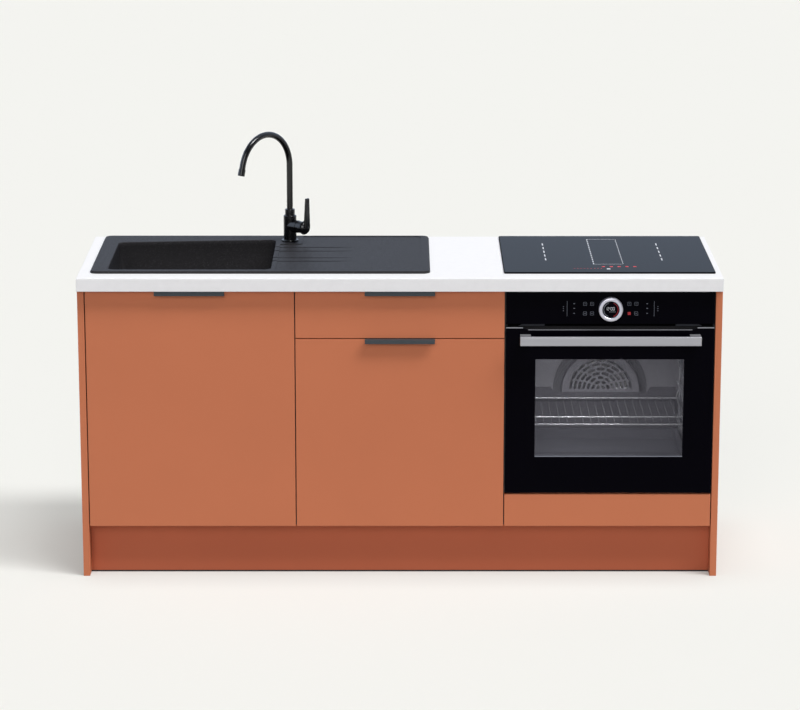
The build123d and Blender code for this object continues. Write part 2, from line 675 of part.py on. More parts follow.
def spout_path():
    """Riser, arc and short fall of the spout, with its end point and end direction."""
    yaw = math.radians(SPOUT_YAW)
    lean = (-math.cos(yaw), -math.sin(yaw))
    spring = RIM_TOP + SPOUT_SPRING

    def at(out, z):
        return (TAP_X + lean[0] * out, TAP_Y + lean[1] * out, z)

    turn = math.radians(SPOUT_ARC_ANGLE)
    r = SPOUT_ARC_RADIUS
    mid = (r * (1 - math.cos(turn / 2)), spring + r * math.sin(turn / 2))
    tip = (r * (1 - math.cos(turn)), spring + r * math.sin(turn))
    fall = 20.0
    end = (tip[0] + fall * math.sin(turn), tip[1] + fall * math.cos(turn))
    riser = Line(at(0, TAP_TOP - SOCKET + 1), at(0, spring))
    arc = ThreePointArc(at(0, spring), at(*mid), at(*tip))
    drop = Line(at(*tip), at(*end))
    heading = (lean[0] * math.sin(turn), lean[1] * math.sin(turn), math.cos(turn))
    return riser + arc + drop, at(*end), heading


def tap_spout():
    path, end, heading = spout_path()
    start = Plane(origin=(TAP_X, TAP_Y, TAP_TOP - SOCKET + 1), z_dir=(0, 0, 1))
    section = start * (Circle(SPOUT_RADIUS) - Circle(SPOUT_RADIUS - 2))
    return sweep(section, path)


def tap_aerator():
    path, end, heading = spout_path()
    bore, r = SPOUT_RADIUS + 0.05, SPOUT_RADIUS + 1.3
    points = [(bore, -8), (r, -8), (r, 11), (r - 0.8, 12), (7.5, 12), (7.5, 9), (0, 9), (0, 0), (bore, 0)]
    return Plane(origin=end, z_dir=heading) * turned(points)


def tap_cartridge_cover():
    x = BOSS_END + 0.2
    cover = rod((x, 0, 0), (DOME_X, 0, 0), DOME_RADIUS)
    ahead = block((DOME_X - 2, DOME_X + 30), (-30, 30), (-30, 30))
    cover += (Pos(DOME_X, 0, 0) * Sphere(DOME_RADIUS)) & ahead
    cover += rod((BOSS_END - 11, 0, 0), (x + 5, 0, 0), 8)
    cover += rod((DOME_X, -DOME_RADIUS - CUP_WALL, 0), (DOME_X, DOME_RADIUS + CUP_WALL, 0), 2)
    return Pos(TAP_X, TAP_Y, LEVER_Z) * Rot(Z=LEVER_TURN) * cover


def tap_lever():
    inner = DOME_RADIUS + 0.4
    outer = inner + CUP_WALL
    keep = block((6, 40), (-30, 30), (-30, 30))
    keep += block((-4.5, 8), (-30, 30), (-4.5, 4.5))
    cup = Sphere(outer) & keep
    foot = Pos(inner - 1.9, 0, 0) * RectangleRounded(10, 22, 3)
    tip = Pos(inner, 0, LEVER_HEIGHT) * RectangleRounded(*LEVER_TIP, 4)
    blade = loft([foot, tip])
    blade = fillet(blade.edges().group_by(Axis.Z)[-1], 2)
    lever = cup + blade - Sphere(inner)
    lever -= rod((-20, 0, 0), (0, 0, 0), inner + 0.4)
    lever -= rod((0, -40, 0), (0, 40, 0), 2 + RUNNING_CLEARANCE)
    return Pos(TAP_X, TAP_Y, LEVER_Z) * Rot(Z=LEVER_TURN) * Pos(DOME_X, 0, 0) * lever


# Hob

def hob_glass():
    x = (OVEN_BAY - HOB_WIDTH / 2, OVEN_BAY + HOB_WIDTH / 2)
    y = (HOB_MIDDLE_Y - HOB_DEPTH / 2, HOB_MIDDLE_Y + HOB_DEPTH / 2)
    glass = plate(x, y, (WORKTOP_TOP, WORKTOP_TOP + HOB_GLASS), 5)
    return fillet(glass.edges().group_by(Axis.Z)[-1], 1.2)


def hob_casing():
    low = WORKTOP_TOP - HOB_CASING_DEPTH
    x, y = hob_span(HOB_CLEARANCE)
    tray = plate(x, y, (low, WORKTOP_TOP), 5)
    x, y = hob_span(HOB_CLEARANCE + 2)
    return tray - plate(x, y, (low + 2, WORKTOP_TOP + 1), 3)


def hob_coils():
    low = WORKTOP_TOP - HOB_CASING_DEPTH + 2
    top = WORKTOP_TOP - COIL_TOP_GAP
    under, post = top - COIL_THICKNESS, COIL_POST
    coils = []
    for sx, sy, r in ((-1, -1, COIL_MEDIUM), (1, -1, COIL_SMALL), (-1, 1, COIL_SMALL), (1, 1, COIL_LARGE)):
        coil = turned([(0, low), (post, low), (post, under), (r, under), (r, top), (0, top)])
        place = (OVEN_BAY + sx * COIL_SPACING_X / 2, HOB_MIDDLE_Y + sy * COIL_SPACING_Y / 2, 0)
        coils.append(Pos(*place) * coil)
    return group(coils)


# Oven

FASCIA_LOW = OVEN_HIGH - OVEN_FASCIA_HEIGHT
DOOR_TOP = FASCIA_LOW - OVEN_VENT_GAP
FLANGE_FRONT = CARCASS_FRONT - OVEN_FLANGE
CASING_HALF = INNER_HALF - OVEN_CASING_CLEARANCE
CASING_LOW = OVEN_LOW - OVEN_SHEET
CASING_TOP = CARCASS_TOP - OVEN_CASING_TOP_GAP
CASING_BACK = CARCASS_FRONT + OVEN_CASING_DEPTH
CAVITY_HALF = CASING_HALF - CAVITY_SIDE
CAVITY_LOW = CASING_LOW + CAVITY_FLOOR
CAVITY_TOP = CAVITY_LOW + CAVITY_HEIGHT
CAVITY_BACK = CARCASS_FRONT + CAVITY_DEPTH
PIVOT_Z = OVEN_LOW + OVEN_PIVOT_LIFT
OVEN_PIVOT_Y = FRONT + 6.0
RECEIVER_X = OVEN_HALF - 45.0
THICK_LOW = OVEN_LOW + 24.0
INNER_GLASS_BACK = FLANGE_FRONT - INNER_GLASS_GAP
INNER_GLASS_FRONT = INNER_GLASS_BACK - INNER_GLASS
FAN_Z = CAVITY_LOW + FAN_LIFT


def around(half, low, high, y):
    """Upright slab about the middle of the oven bay."""
    return block((OVEN_BAY - half, OVEN_BAY + half), y, (low, high))


def oven_casing():
    t = OVEN_SHEET
    y = (CARCASS_FRONT, CASING_BACK)
    low, top = CASING_LOW, CASING_TOP
    panels = [around(CASING_HALF, low, low + t, y), around(CASING_HALF, top - t, top, y)]
    for side in (-1, 1):
        x = sorted((OVEN_BAY + side * CASING_HALF, OVEN_BAY + side * (CASING_HALF - t)))
        panels.append(block(x, y, (low + t, top - t)))
    panels.append(around(CASING_HALF - t, low + t, top - t, (CASING_BACK - t, CASING_BACK)))
    return group(panels)


def oven_cavity():
    w = CAVITY_WALL
    shell = around(CAVITY_HALF + w, CAVITY_LOW - w, CAVITY_TOP + w, (CARCASS_FRONT, CAVITY_BACK + w))
    shell += around(OVEN_HALF, OVEN_LOW, OVEN_HIGH, (FLANGE_FRONT, CARCASS_FRONT))
    hollow = around(CAVITY_HALF, CAVITY_LOW, CAVITY_TOP, (FLANGE_FRONT - 1, CAVITY_BACK))
    hollow = fillet(hollow.edges().filter_by(Axis.Y), 12)
    shell -= hollow
    return shell - rod((OVEN_BAY, CAVITY_BACK - 1, FAN_Z), (OVEN_BAY, CAVITY_BACK + w + 1, FAN_Z), FAN_SHAFT + 2)


def oven_fascia():
    x = (OVEN_BAY - OVEN_HALF, OVEN_BAY + OVEN_HALF)
    return eased(x, (OVEN_FACE, FLANGE_FRONT), (FASCIA_LOW, OVEN_HIGH))


KNOB_Z = (FASCIA_LOW + OVEN_HIGH) / 2 - 1.5


def oven_display():
    r, h = KNOB_BORE - RUNNING_CLEARANCE, KNOB_REACH - 3
    disc = turned([(0, 0), (r, 0), (r, h - 1), (r - 1, h), (0, h)])
    return facing(OVEN_BAY, OVEN_FACE, KNOB_Z, disc)


def oven_knob():
    r, b, h = KNOB_RADIUS, KNOB_BORE, KNOB_REACH
    ring = turned([(b, 0.4), (r, 0.4), (r, h - 4), (r - 1.2, h - 1.2), (r - 4, h), (b + 1.5, h), (b, h - 1.5)])
    return facing(OVEN_BAY, OVEN_FACE, KNOB_Z, ring)


def oven_vent_trim():
    return around(OVEN_HALF - 5, DOOR_TOP + 2, FASCIA_LOW, (FRONT + 8, FLANGE_FRONT))


def door_outline(top_inset):
    """Door seen from the front, its top edge dipped in the middle."""
    high = DOOR_TOP - top_inset
    dip = high - DOOR_DIP
    half, near = DOOR_DIP_WIDTH / 2 + 15, DOOR_DIP_WIDTH / 2
    right = [(OVEN_HALF, OVEN_LOW), (OVEN_HALF, high), (half, high), (near, dip)]
    left = [(-x, z) for x, z in reversed(right)]
    return [(OVEN_BAY + x, z) for x, z in right + left]


def oven_door_glass():
    return upright(door_outline(3.0), (OVEN_FACE, OVEN_FACE + OVEN_GLASS))


WINDOW_HALF = OVEN_HALF - WINDOW_SIDE
WINDOW_LOW = OVEN_LOW + WINDOW_BOTTOM
WINDOW_TOP = WINDOW_LOW + WINDOW_HEIGHT
PLATE_FRONT = OVEN_FACE + OVEN_GLASS


def oven_door_frame():
    back, thick = PLATE_FRONT + 2.0, INNER_GLASS_FRONT
    frame = upright(door_outline(0.0), (PLATE_FRONT, back))
    cap = upright(door_outline(0.0), (OVEN_FACE, PLATE_FRONT))
    frame += cap - upright(door_outline(3.0), (OVEN_FACE - 1, PLATE_FRONT))
    frame += around(OVEN_HALF - 17, THICK_LOW, DOOR_TOP - DOOR_DIP - 3, (back, thick))
    frame -= around(WINDOW_HALF, WINDOW_LOW, WINDOW_TOP, (OVEN_FACE - 5, thick + 5))
    frame -= around(WINDOW_HALF + 10, WINDOW_LOW - 10, WINDOW_TOP + 10, (back, thick + 5))
    for side in (-1, 1):
        x = OVEN_BAY + side * RECEIVER_X
        lugs = block((x - 14, x + 14), (PLATE_FRONT, FRONT + 10), (PIVOT_Z - 4.5, THICK_LOW + 4))
        frame += lugs
        frame -= block((x - 6.5, x + 6.5), (PLATE_FRONT - 0.01, thick + 5), (OVEN_LOW - 5, THICK_LOW))
        bore = HINGE_PIN_RADIUS + RUNNING_CLEARANCE
        frame -= rod((x - 20, OVEN_PIVOT_Y, PIVOT_Z), (x + 20, OVEN_PIVOT_Y, PIVOT_Z), bore)
    return frame


def oven_door_inner_glass():
    y = (INNER_GLASS_FRONT, INNER_GLASS_BACK)
    return around(CAVITY_HALF + 25, THICK_LOW + 4, DOOR_TOP - DOOR_DIP - 8, y)


def oven_hinge_receivers():
    """Tongue with a fixed cross pin on each side, standing off the front flange."""
    parts = []
    for side in (-1, 1):
        x = OVEN_BAY + side * RECEIVER_X
        part = rod((x - 6, OVEN_PIVOT_Y, PIVOT_Z), (x + 6, OVEN_PIVOT_Y, PIVOT_Z), 3.6)
        part += block((x - 6, x + 6), (OVEN_PIVOT_Y, FLANGE_FRONT), (PIVOT_Z - 3, PIVOT_Z + 3))
        part += rod((x - 13.5, OVEN_PIVOT_Y, PIVOT_Z), (x + 13.5, OVEN_PIVOT_Y, PIVOT_Z), HINGE_PIN_RADIUS)
        parts.append(part)
    return group(parts)


def oven_gasket():
    y = (FLANGE_FRONT - 0.7, FLANGE_FRONT)
    ring = around(CAVITY_HALF + 18, CAVITY_LOW - 18, CAVITY_TOP + 18, y)
    return ring - around(CAVITY_HALF + 6, CAVITY_LOW - 6, CAVITY_TOP + 6, (y[0] - 1, y[1] + 1))


def oven_door_handle():
    half, front = OVEN_HANDLE_LENGTH / 2, OVEN_FACE - OVEN_HANDLE_REACH
    high = DOOR_TOP - OVEN_HANDLE_DROP
    low = high - OVEN_HANDLE_HEIGHT
    bar = eased((OVEN_BAY - half, OVEN_BAY + half), (front, front + 12), (low, high), 2.0)
    for side in (-1, 1):
        x = sorted((OVEN_BAY + side * half, OVEN_BAY + side * (half - 32)))
        bar += block((x[0] + 1, x[1] - 1), (front + 6, OVEN_FACE), (low + 3, high))
    return bar


def oven_fan_cover():
    """Shallow drum over the fan, its upper half pierced by rings of slots."""
    r, depth, t = FAN_COVER_RADIUS, FAN_COVER_DEPTH, FAN_COVER_SHEET
    rim = r + FAN_COVER_RIM
    points = [(0, depth - t), (r - t, depth - t), (r - t, 0), (rim, 0), (rim, t), (r, t), (r, depth), (0, depth)]
    pan = turned(points)
    slots = Sketch()
    for ring, count in enumerate(SLOT_COUNTS):
        radius = SLOT_FIRST + SLOT_PITCH * ring
        span = 180.0 / count
        bar = math.degrees((SLOT_BAR + SLOT_WIDTH) / radius)
        for i in range(count):
            slots += SlotArc(CenterArc((0, 0), radius, i * span + bar / 2, span - bar), SLOT_WIDTH)
    pan -= Pos(0, 0, depth - 2 * t) * extrude(slots, amount=3 * t)
    return facing(OVEN_BAY, CAVITY_BACK, FAN_Z, pan)


def oven_fan():
    r, hub, shaft, disc = FAN_RADIUS, FAN_HUB, FAN_SHAFT, FAN_DISC
    face = disc + FAN_SHEET
    points = [(0, -SHAFT_LENGTH), (shaft, -SHAFT_LENGTH), (shaft, disc - 6), (hub, disc - 6), (hub, disc), (r, disc)]
    impeller = turned(points + [(r, face), (hub, face), (hub, disc + 10), (0, disc + 10)])
    for i in range(9):
        blade = block((FAN_BLADE_INNER, r - 2), (-0.8, 0.8), (face - 0.5, face + FAN_BLADE_DEPTH))
        impeller += Rot(Z=40 * i) * blade
    return facing(OVEN_BAY, CAVITY_BACK, FAN_Z, impeller)


def oven_fan_motor():
    w = CAVITY_WALL
    bore, end, socket = FAN_SHAFT + RUNNING_CLEARANCE, -w - MOTOR_LENGTH, -w - SHAFT_LENGTH - 3
    motor = turned([(bore, -w), (MOTOR_RADIUS, -w), (MOTOR_RADIUS, end), (0, end), (0, socket), (bore, socket)])
    return facing(OVEN_BAY, CAVITY_BACK, FAN_Z, motor)


def oven_heating_elements():
    tubes = []
    z = CAVITY_TOP - ELEMENT_DROP
    bends = ((ELEMENT_OUTER_HALF, ELEMENT_OUTER_FRONT), (ELEMENT_INNER_HALF, ELEMENT_INNER_FRONT))
    for half, front in bends:
        y = CARCASS_FRONT + front
        points = [(OVEN_BAY - half, CAVITY_BACK, z), (OVEN_BAY - half, y, z), (OVEN_BAY + half, y, z)]
        path = FilletPolyline(*points, (OVEN_BAY + half, CAVITY_BACK, z), radius=ELEMENT_BEND)
        tubes.append(sweep(Plane(origin=points[0], z_dir=(0, -1, 0)) * Circle(ELEMENT_RADIUS), path))
    return group(tubes)


RACK_X = CAVITY_HALF - 12.0
POST_X = CAVITY_HALF - 5.0
TRAY_Z = CAVITY_LOW + TRAY_LIFT
SHELF_Z = CAVITY_LOW + SHELF_LIFT
SHELF_Y = (CARCASS_FRONT + 32.0, CAVITY_BACK - FAN_COVER_DEPTH - 14.0)


def oven_shelf_racks():
    """Ladder of wires on each side: uprights pegged to the wall, runners carried inside them."""
    racks = []
    r = WIRE_RADIUS
    front, back = CARCASS_FRONT + RACK_FRONT, CAVITY_BACK - FAN_COVER_DEPTH - 20
    low, high = CAVITY_LOW + RACK_LIFT, CAVITY_TOP - RACK_HEADROOM
    for side in (-1, 1):
        inside, wall = OVEN_BAY + side * RACK_X, OVEN_BAY + side * CAVITY_HALF
        post = OVEN_BAY + side * POST_X
        rack = rod((post, front, low), (post, front, high), r + 0.4)
        rack += rod((post, back, low), (post, back, high), r + 0.4)
        upper = [SHELF_Z + RUNNER_STEP * i for i in range(3)]
        for z in [TRAY_Z, TRAY_Z + LOW_RUNNER_STEP] + upper:
            rack += rod((inside, front - 6, z), (inside, back + 6, z), r)
            for y in (front, back):
                rack += rod((inside, y, z), (post, y, z), r - 0.6)
        for y in (front, back):
            for z in (low + 5, high - 5):
                rack += rod((post, y, z), (wall, y, z), r - 0.8)
        racks.append(rack)
    return group(racks)


def oven_wire_shelf():
    r = WIRE_RADIUS + 0.5
    z = SHELF_Z + WIRE_RADIUS + r + 0.2
    half = RACK_X - 0.5
    shelf = rod((OVEN_BAY - half, SHELF_Y[0], z), (OVEN_BAY - half, SHELF_Y[1], z), r)
    shelf += rod((OVEN_BAY + half, SHELF_Y[0], z), (OVEN_BAY + half, SHELF_Y[1], z), r)
    for y in (SHELF_Y[0] + 6, SHELF_Y[0] + SHELF_BAR, SHELF_Y[1] - 6):
        shelf += rod((OVEN_BAY - half, y, z), (OVEN_BAY + half, y, z), r - 0.4)
    for i in range(1, SHELF_WIRES):
        x = OVEN_BAY - half + 2 * half * i / SHELF_WIRES
        shelf += rod((x, SHELF_Y[0] + 2, z + 1.5), (x, SHELF_Y[1] - 2, z + 1.5), 1.3)
    return shelf


def oven_baking_tray():
    z = TRAY_Z + WIRE_RADIUS + 0.1
    half = RACK_X + 2.5
    y = SHELF_Y
    x = (OVEN_BAY - half, OVEN_BAY + half)
    tray = plate(x, y, (z, z + TRAY_SHEET), 12)
    inner = RACK_X - WIRE_RADIUS - 4
    x = (OVEN_BAY - inner, OVEN_BAY + inner)
    y = (y[0] + TRAY_RIM, y[1] - TRAY_RIM)
    tray += plate(x, y, (z - TRAY_DEPTH, z), 16)
    x = (x[0] + TRAY_SHEET, x[1] - TRAY_SHEET)
    y = (y[0] + TRAY_SHEET, y[1] - TRAY_SHEET)
    return tray - plate(x, y, (z - TRAY_DEPTH + TRAY_SHEET, z + 5), 14.5)


def all_parts():
    door_middle = (DOOR_X[0] + DOOR_X[1]) / 2
    parts = {
        "end_panel_left": end_panel(-1),
        "end_panel_right": end_panel(1),
        "carcass_sides": carcass_sides(),
        "carcass_bottoms": carcass_bottoms(),
        "carcass_rails": carcass_rails(),
        "drawer_unit_back": drawer_unit_back(),
        "levelling_feet": levelling_feet(),
        "plinth": plinth(),
        "plinth_clips": plinth_clips(),
        "worktop": worktop(),
        "oven_filler_panel": oven_filler_panel(),
        "sink_door": sink_door(),
        "sink_door_handle": edge_pull(door_middle, FRONT_HIGH),
        "door_hinge_brackets": door_hinge_brackets(),
        "cutlery_drawer_front": eased(DRAWER_FRONT_X, (FRONT, FRONT_BACK), (DEEP_FRONT_TOP + FRONT_GAP, FRONT_HIGH)),
        "cutlery_drawer_handle": edge_pull(DRAWER_BAY, FRONT_HIGH),
        "cutlery_drawer_box": drawer_box(CUTLERY_LOW, CUTLERY_BOX_HEIGHT),
        "cutlery_runner_slides": runner_slides(CUTLERY_RUNNER),
        "cutlery_runner_middles": runner_middles(CUTLERY_RUNNER),
        "deep_drawer_front": eased(DRAWER_FRONT_X, (FRONT, FRONT_BACK), (FRONT_LOW, DEEP_FRONT_TOP)),
        "deep_drawer_handle": edge_pull(DRAWER_BAY, DEEP_FRONT_TOP),
        "deep_drawer_box": drawer_box(DEEP_LOW, DEEP_BOX_HEIGHT),
        "deep_runner_slides": runner_slides(DEEP_RUNNER),
        "deep_runner_middles": runner_middles(DEEP_RUNNER),
        "runner_rails": runner_rails(),
        "sink": sink(),
        "sink_waste": sink_waste(),
        "basket_strainer": basket_strainer(),
        "waste_trap": waste_trap(),
        "tap_base_ring": tap_base_ring(),
        "tap_body": tap_body(),
        "tap_collar": tap_collar(),
        "tap_fixing_nut": tap_fixing_nut(),
        "tap_spout": tap_spout(),
        "tap_aerator": tap_aerator(),
        "tap_cartridge_cover": tap_cartridge_cover(),
        "tap_lever": tap_lever(),
        "hob_glass": hob_glass(),
        "hob_casing": hob_casing(),
        "hob_coils": hob_coils(),
        "oven_casing": oven_casing(),
        "oven_cavity": oven_cavity(),
        "oven_fascia": oven_fascia(),
        "oven_display": oven_display(),
        "oven_knob": oven_knob(),
        "oven_vent_trim": oven_vent_trim(),
        "oven_gasket": oven_gasket(),
        "oven_hinge_receivers": oven_hinge_receivers(),
        "oven_door_glass": oven_door_glass(),
        "oven_door_inner_glass": oven_door_inner_glass(),
        "oven_door_frame": oven_door_frame(),
        "oven_door_handle": oven_door_handle(),
        "oven_fan_cover": oven_fan_cover(),
        "oven_fan": oven_fan(),
        "oven_fan_motor": oven_fan_motor(),
        "oven_heating_elements": oven_heating_elements(),
        "oven_shelf_racks": oven_shelf_racks(),
        "oven_wire_shelf": oven_wire_shelf(),
        "oven_baking_tray": oven_baking_tray(),
    }
    return parts


os.makedirs("parts", exist_ok=True)
for name, part in all_parts().items():
    export_step(part, os.path.join("parts", name + ".step"))
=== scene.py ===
# %% [markdown]
# A kitchen base run: sink bay, drawer bay and oven bay under one worktop.
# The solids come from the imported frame. This file gives them their finishes, adds the printed
# marks, seals and glass that are too thin for solids, and sets up a studio around them.

# %% Load the frame
import json
import math

import bpy
import numpy as np
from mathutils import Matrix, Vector


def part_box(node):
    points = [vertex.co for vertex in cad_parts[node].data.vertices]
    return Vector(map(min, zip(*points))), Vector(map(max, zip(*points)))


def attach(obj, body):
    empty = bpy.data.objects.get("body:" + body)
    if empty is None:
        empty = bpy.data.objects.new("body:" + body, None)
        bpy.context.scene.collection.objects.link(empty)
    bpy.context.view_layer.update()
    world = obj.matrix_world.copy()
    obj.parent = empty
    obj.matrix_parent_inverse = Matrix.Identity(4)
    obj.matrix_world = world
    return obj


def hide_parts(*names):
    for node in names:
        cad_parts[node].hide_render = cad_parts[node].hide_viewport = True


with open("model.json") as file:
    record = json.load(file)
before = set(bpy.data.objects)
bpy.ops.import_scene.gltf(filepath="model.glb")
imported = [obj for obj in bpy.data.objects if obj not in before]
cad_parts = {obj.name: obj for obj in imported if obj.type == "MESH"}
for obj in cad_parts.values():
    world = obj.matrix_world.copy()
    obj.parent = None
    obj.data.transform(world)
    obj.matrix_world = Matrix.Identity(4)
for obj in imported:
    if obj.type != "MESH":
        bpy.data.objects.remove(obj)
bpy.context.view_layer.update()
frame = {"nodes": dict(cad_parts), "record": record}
nodes = frame["nodes"]

# %% [markdown]
# The camera stands straight in front, well back and above the worktop, as a catalogue picture is taken.
# A shifted lens would keep the uprights exactly parallel, but it would push every other view off centre.
# So the camera tilts down a little instead, and a long lens keeps the uprights nearly parallel.

# %% Camera
FRONT_Y = -0.270            # plane of the door fronts
PIXELS_WIDE = 800
FOCAL_PIXELS = 3144.7
SENSOR_WIDTH = 36.0         # millimetres
CAMERA_X = 0.0003
CAMERA_DISTANCE = 8.733     # metres in front of the door fronts
CAMERA_HEIGHT = 2.780
CAMERA_PITCH = 13.64        # degrees below level
CAMERA_SIGHT = 100.0        # metres

scene = bpy.context.scene
lens = bpy.data.cameras.new("camera")
lens.sensor_fit = "HORIZONTAL"
lens.sensor_width = SENSOR_WIDTH
lens.lens = FOCAL_PIXELS / PIXELS_WIDE * SENSOR_WIDTH
lens.clip_end = CAMERA_SIGHT
camera = bpy.data.objects.new("camera", lens)
camera.location = (CAMERA_X, FRONT_Y - CAMERA_DISTANCE, CAMERA_HEIGHT)
camera.rotation_euler = (math.radians(90 - CAMERA_PITCH), 0, 0)
scene.collection.objects.link(camera)
scene.camera = camera
print("camera lens", round(lens.lens, 1), "mm")

# %% [markdown]
# Studio light. A long lamp hangs high on the right and a little to the front: it lights the worktop, shades
# the fronts just under it and leaves a soft shadow on the floor at the left. Three far lamps in a row stand
# for it, because one round lamp would give that shadow a hard edge. A wide fill from the front and a dim even
# surround do the rest. Together they come to about one unit of light, so a colour renders about as written.

# %% Lamps
KEY_SLOPES = (0.26, 0.54, 0.86)         # sideways lean of the three lamps, per unit of height
KEY_LEAN = 0.29                         # lean towards the front, per unit of height
KEY_SHARE = 0.92                        # light on a surface that faces the lamp
KEY_SPREAD = 14                         # degrees
FILL_FROM = (-0.10, -0.90, 0.42)        # the way to the fill, seen from the object
FILL_SHARE = 0.33
FILL_SPREAD = 36


def far_lamp(name, towards, share, spread):
    """Sun lamp: its share is the light on a surface that faces it, and its spread softens the shadows."""
    light = bpy.data.lights.new(name, "SUN")
    light.energy = share * math.pi
    light.angle = math.radians(spread)
    stand = bpy.data.objects.new(name, light)
    stand.rotation_euler = Vector(towards).to_track_quat("Z", "Y").to_euler()
    scene.collection.objects.link(stand)


for i, slope in enumerate(KEY_SLOPES):
    far_lamp(f"key_{i}", (slope, -KEY_LEAN, 1.0), KEY_SHARE / len(KEY_SLOPES), KEY_SPREAD)
far_lamp("fill", FILL_FROM, FILL_SHARE, FILL_SPREAD)
scene.view_settings.view_transform = "Standard"
print("key", KEY_SHARE, "fill", FILL_SHARE)

# %% [markdown]
# The room round the object gives an even, dim light of its own. In reflections it shows more: pale behind the
# object, and dim on the camera's side, because shiny black things turn grey without that dim side. The
# reflected room has a cool tone, and a bright screen at the far left draws a highlight down the tap.
# Three helpers build its nodes, and the finishes use them too.

# %% Room
SURROUND = 0.16
BACKDROP = 0.90
PALE_SIDE, DIM_SIDE = 1.05, 0.10        # what reflections show behind the object and on the camera's side
ROOM_TURN = (-0.2, 0.3)                 # from front to back, where the dim side turns into the pale one
SCREEN_GLOW = 1.5
SCREEN_EDGE = (-0.60, -0.85)            # towards the left, where the screen starts and where it is full
ROOM_TONE = (1.0, 0.99, 0.985, 1)
MIRROR_TONE = (0.70, 0.81, 1.0, 1)      # the tone of the room in reflections


def add_node(tree, kind, **inputs):
    """A node with its input sockets set by name."""
    node = tree.nodes.new(kind)
    for socket, value in inputs.items():
        node.inputs[socket].default_value = value
    return node


def link_math(tree, operation, first, second):
    """One arithmetic node. The second input is a socket or a plain number."""
    node = tree.nodes.new("ShaderNodeMath")
    node.operation = operation
    tree.links.new(first, node.inputs[0])
    if isinstance(second, float):
        node.inputs[1].default_value = second
    else:
        tree.links.new(second, node.inputs[1])
    return node.outputs["Value"]


def stretch_range(tree, value, start, end, low, high):
    """Map start..end to low..high in a straight line, and hold the ends."""
    node = tree.nodes.new("ShaderNodeMapRange")
    for socket, number in (("From Min", start), ("From Max", end), ("To Min", low), ("To Max", high)):
        node.inputs[socket].default_value = number
    tree.links.new(value, node.inputs["Value"])
    return node.outputs["Result"]


world = bpy.data.worlds.new("studio")
scene.world = world
world.use_nodes = True
sky_tree = world.node_tree
ray = sky_tree.nodes.new("ShaderNodeLightPath")
heading = sky_tree.nodes.new("ShaderNodeSeparateXYZ")
sky_tree.links.new(sky_tree.nodes.new("ShaderNodeTexCoord").outputs["Generated"], heading.inputs["Vector"])
sides = (DIM_SIDE - SURROUND, PALE_SIDE - SURROUND)
mirrored = stretch_range(sky_tree, heading.outputs["Y"], *ROOM_TURN, *sides)
screen = stretch_range(sky_tree, heading.outputs["X"], *SCREEN_EDGE, 0.0, SCREEN_GLOW)
mirrored = link_math(sky_tree, "ADD", mirrored, screen)
extra = link_math(sky_tree, "MULTIPLY", mirrored, ray.outputs["Is Glossy Ray"])
direct = link_math(sky_tree, "MAXIMUM", ray.outputs["Is Camera Ray"], ray.outputs["Is Transmission Ray"])
extra = link_math(sky_tree, "ADD", extra, link_math(sky_tree, "MULTIPLY", direct, BACKDROP - SURROUND))
sky = sky_tree.nodes["Background"]
tone = add_node(sky_tree, "ShaderNodeMixRGB", Color1=ROOM_TONE, Color2=MIRROR_TONE)
sky_tree.links.new(ray.outputs["Is Glossy Ray"], tone.inputs["Fac"])
sky_tree.links.new(tone.outputs["Color"], sky.inputs["Color"])
sky_tree.links.new(link_math(sky_tree, "ADD", extra, SURROUND), sky.inputs["Strength"])
print("surround", SURROUND, "room nodes", len(sky_tree.nodes))

# %% [markdown]
# Finishes. Pictures of real paint and steel would need files and unwrapped surfaces. Noise needs neither and
# has no seams, so most finishes start from one recipe: a base colour that drifts a little, a roughness that
# drifts with a finer grain, and a bump from that same grain. All are read from Object coordinates, so that
# they are the same size everywhere.

# %% Finish recipe
ROUGHNESS_DRIFT = 0.06


def srgb(r, g, b):
    """Linear colour from 0 to 255 display values: ((c + 0.055) / 1.055) to the power 2.4."""
    c = np.array([r, g, b]) / 255
    linear = np.where(c <= 0.04045, c / 12.92, ((c + 0.055) / 1.055) ** 2.4)
    return (*(float(v) for v in linear), 1.0)


def new_material(name):
    """A fresh material, its node tree and its main shader."""
    material = bpy.data.materials.new(name)
    material.use_nodes = True
    return material, material.node_tree, material.node_tree.nodes["Principled BSDF"]


def grain(tree, scale, stretch=(1, 1, 1), detail=3.0):
    """Noise in Object coordinates, with a count per metre and a stretch along each axis."""
    place = tree.nodes.new("ShaderNodeTexCoord")
    turn = add_node(tree, "ShaderNodeMapping", Scale=stretch)
    noise = add_node(tree, "ShaderNodeTexNoise", Scale=scale, Detail=detail)
    tree.links.new(place.outputs["Object"], turn.inputs["Vector"])
    tree.links.new(turn.outputs["Vector"], noise.inputs["Vector"])
    return noise.outputs["Fac"]


def ramp(tree, value, low, high, start=0.3, end=0.7):
    """Blend from one colour to another as the value goes from start to end."""
    node = tree.nodes.new("ShaderNodeValToRGB")
    node.color_ramp.elements[0].position, node.color_ramp.elements[0].color = start, low
    node.color_ramp.elements[1].position, node.color_ramp.elements[1].color = end, high
    tree.links.new(value, node.inputs["Fac"])
    return node.outputs["Color"]


def bump(tree, shader, value, depth):
    """Bump of a given depth in metres."""
    node = add_node(tree, "ShaderNodeBump", Strength=1.0, Distance=depth)
    tree.links.new(value, node.inputs["Height"])
    tree.links.new(node.outputs["Normal"], shader.inputs["Normal"])


def shade(colour, factor):
    """Colour times a factor, held at 1."""
    return tuple(min(1.0, c * factor) for c in colour[:3]) + (1.0,)


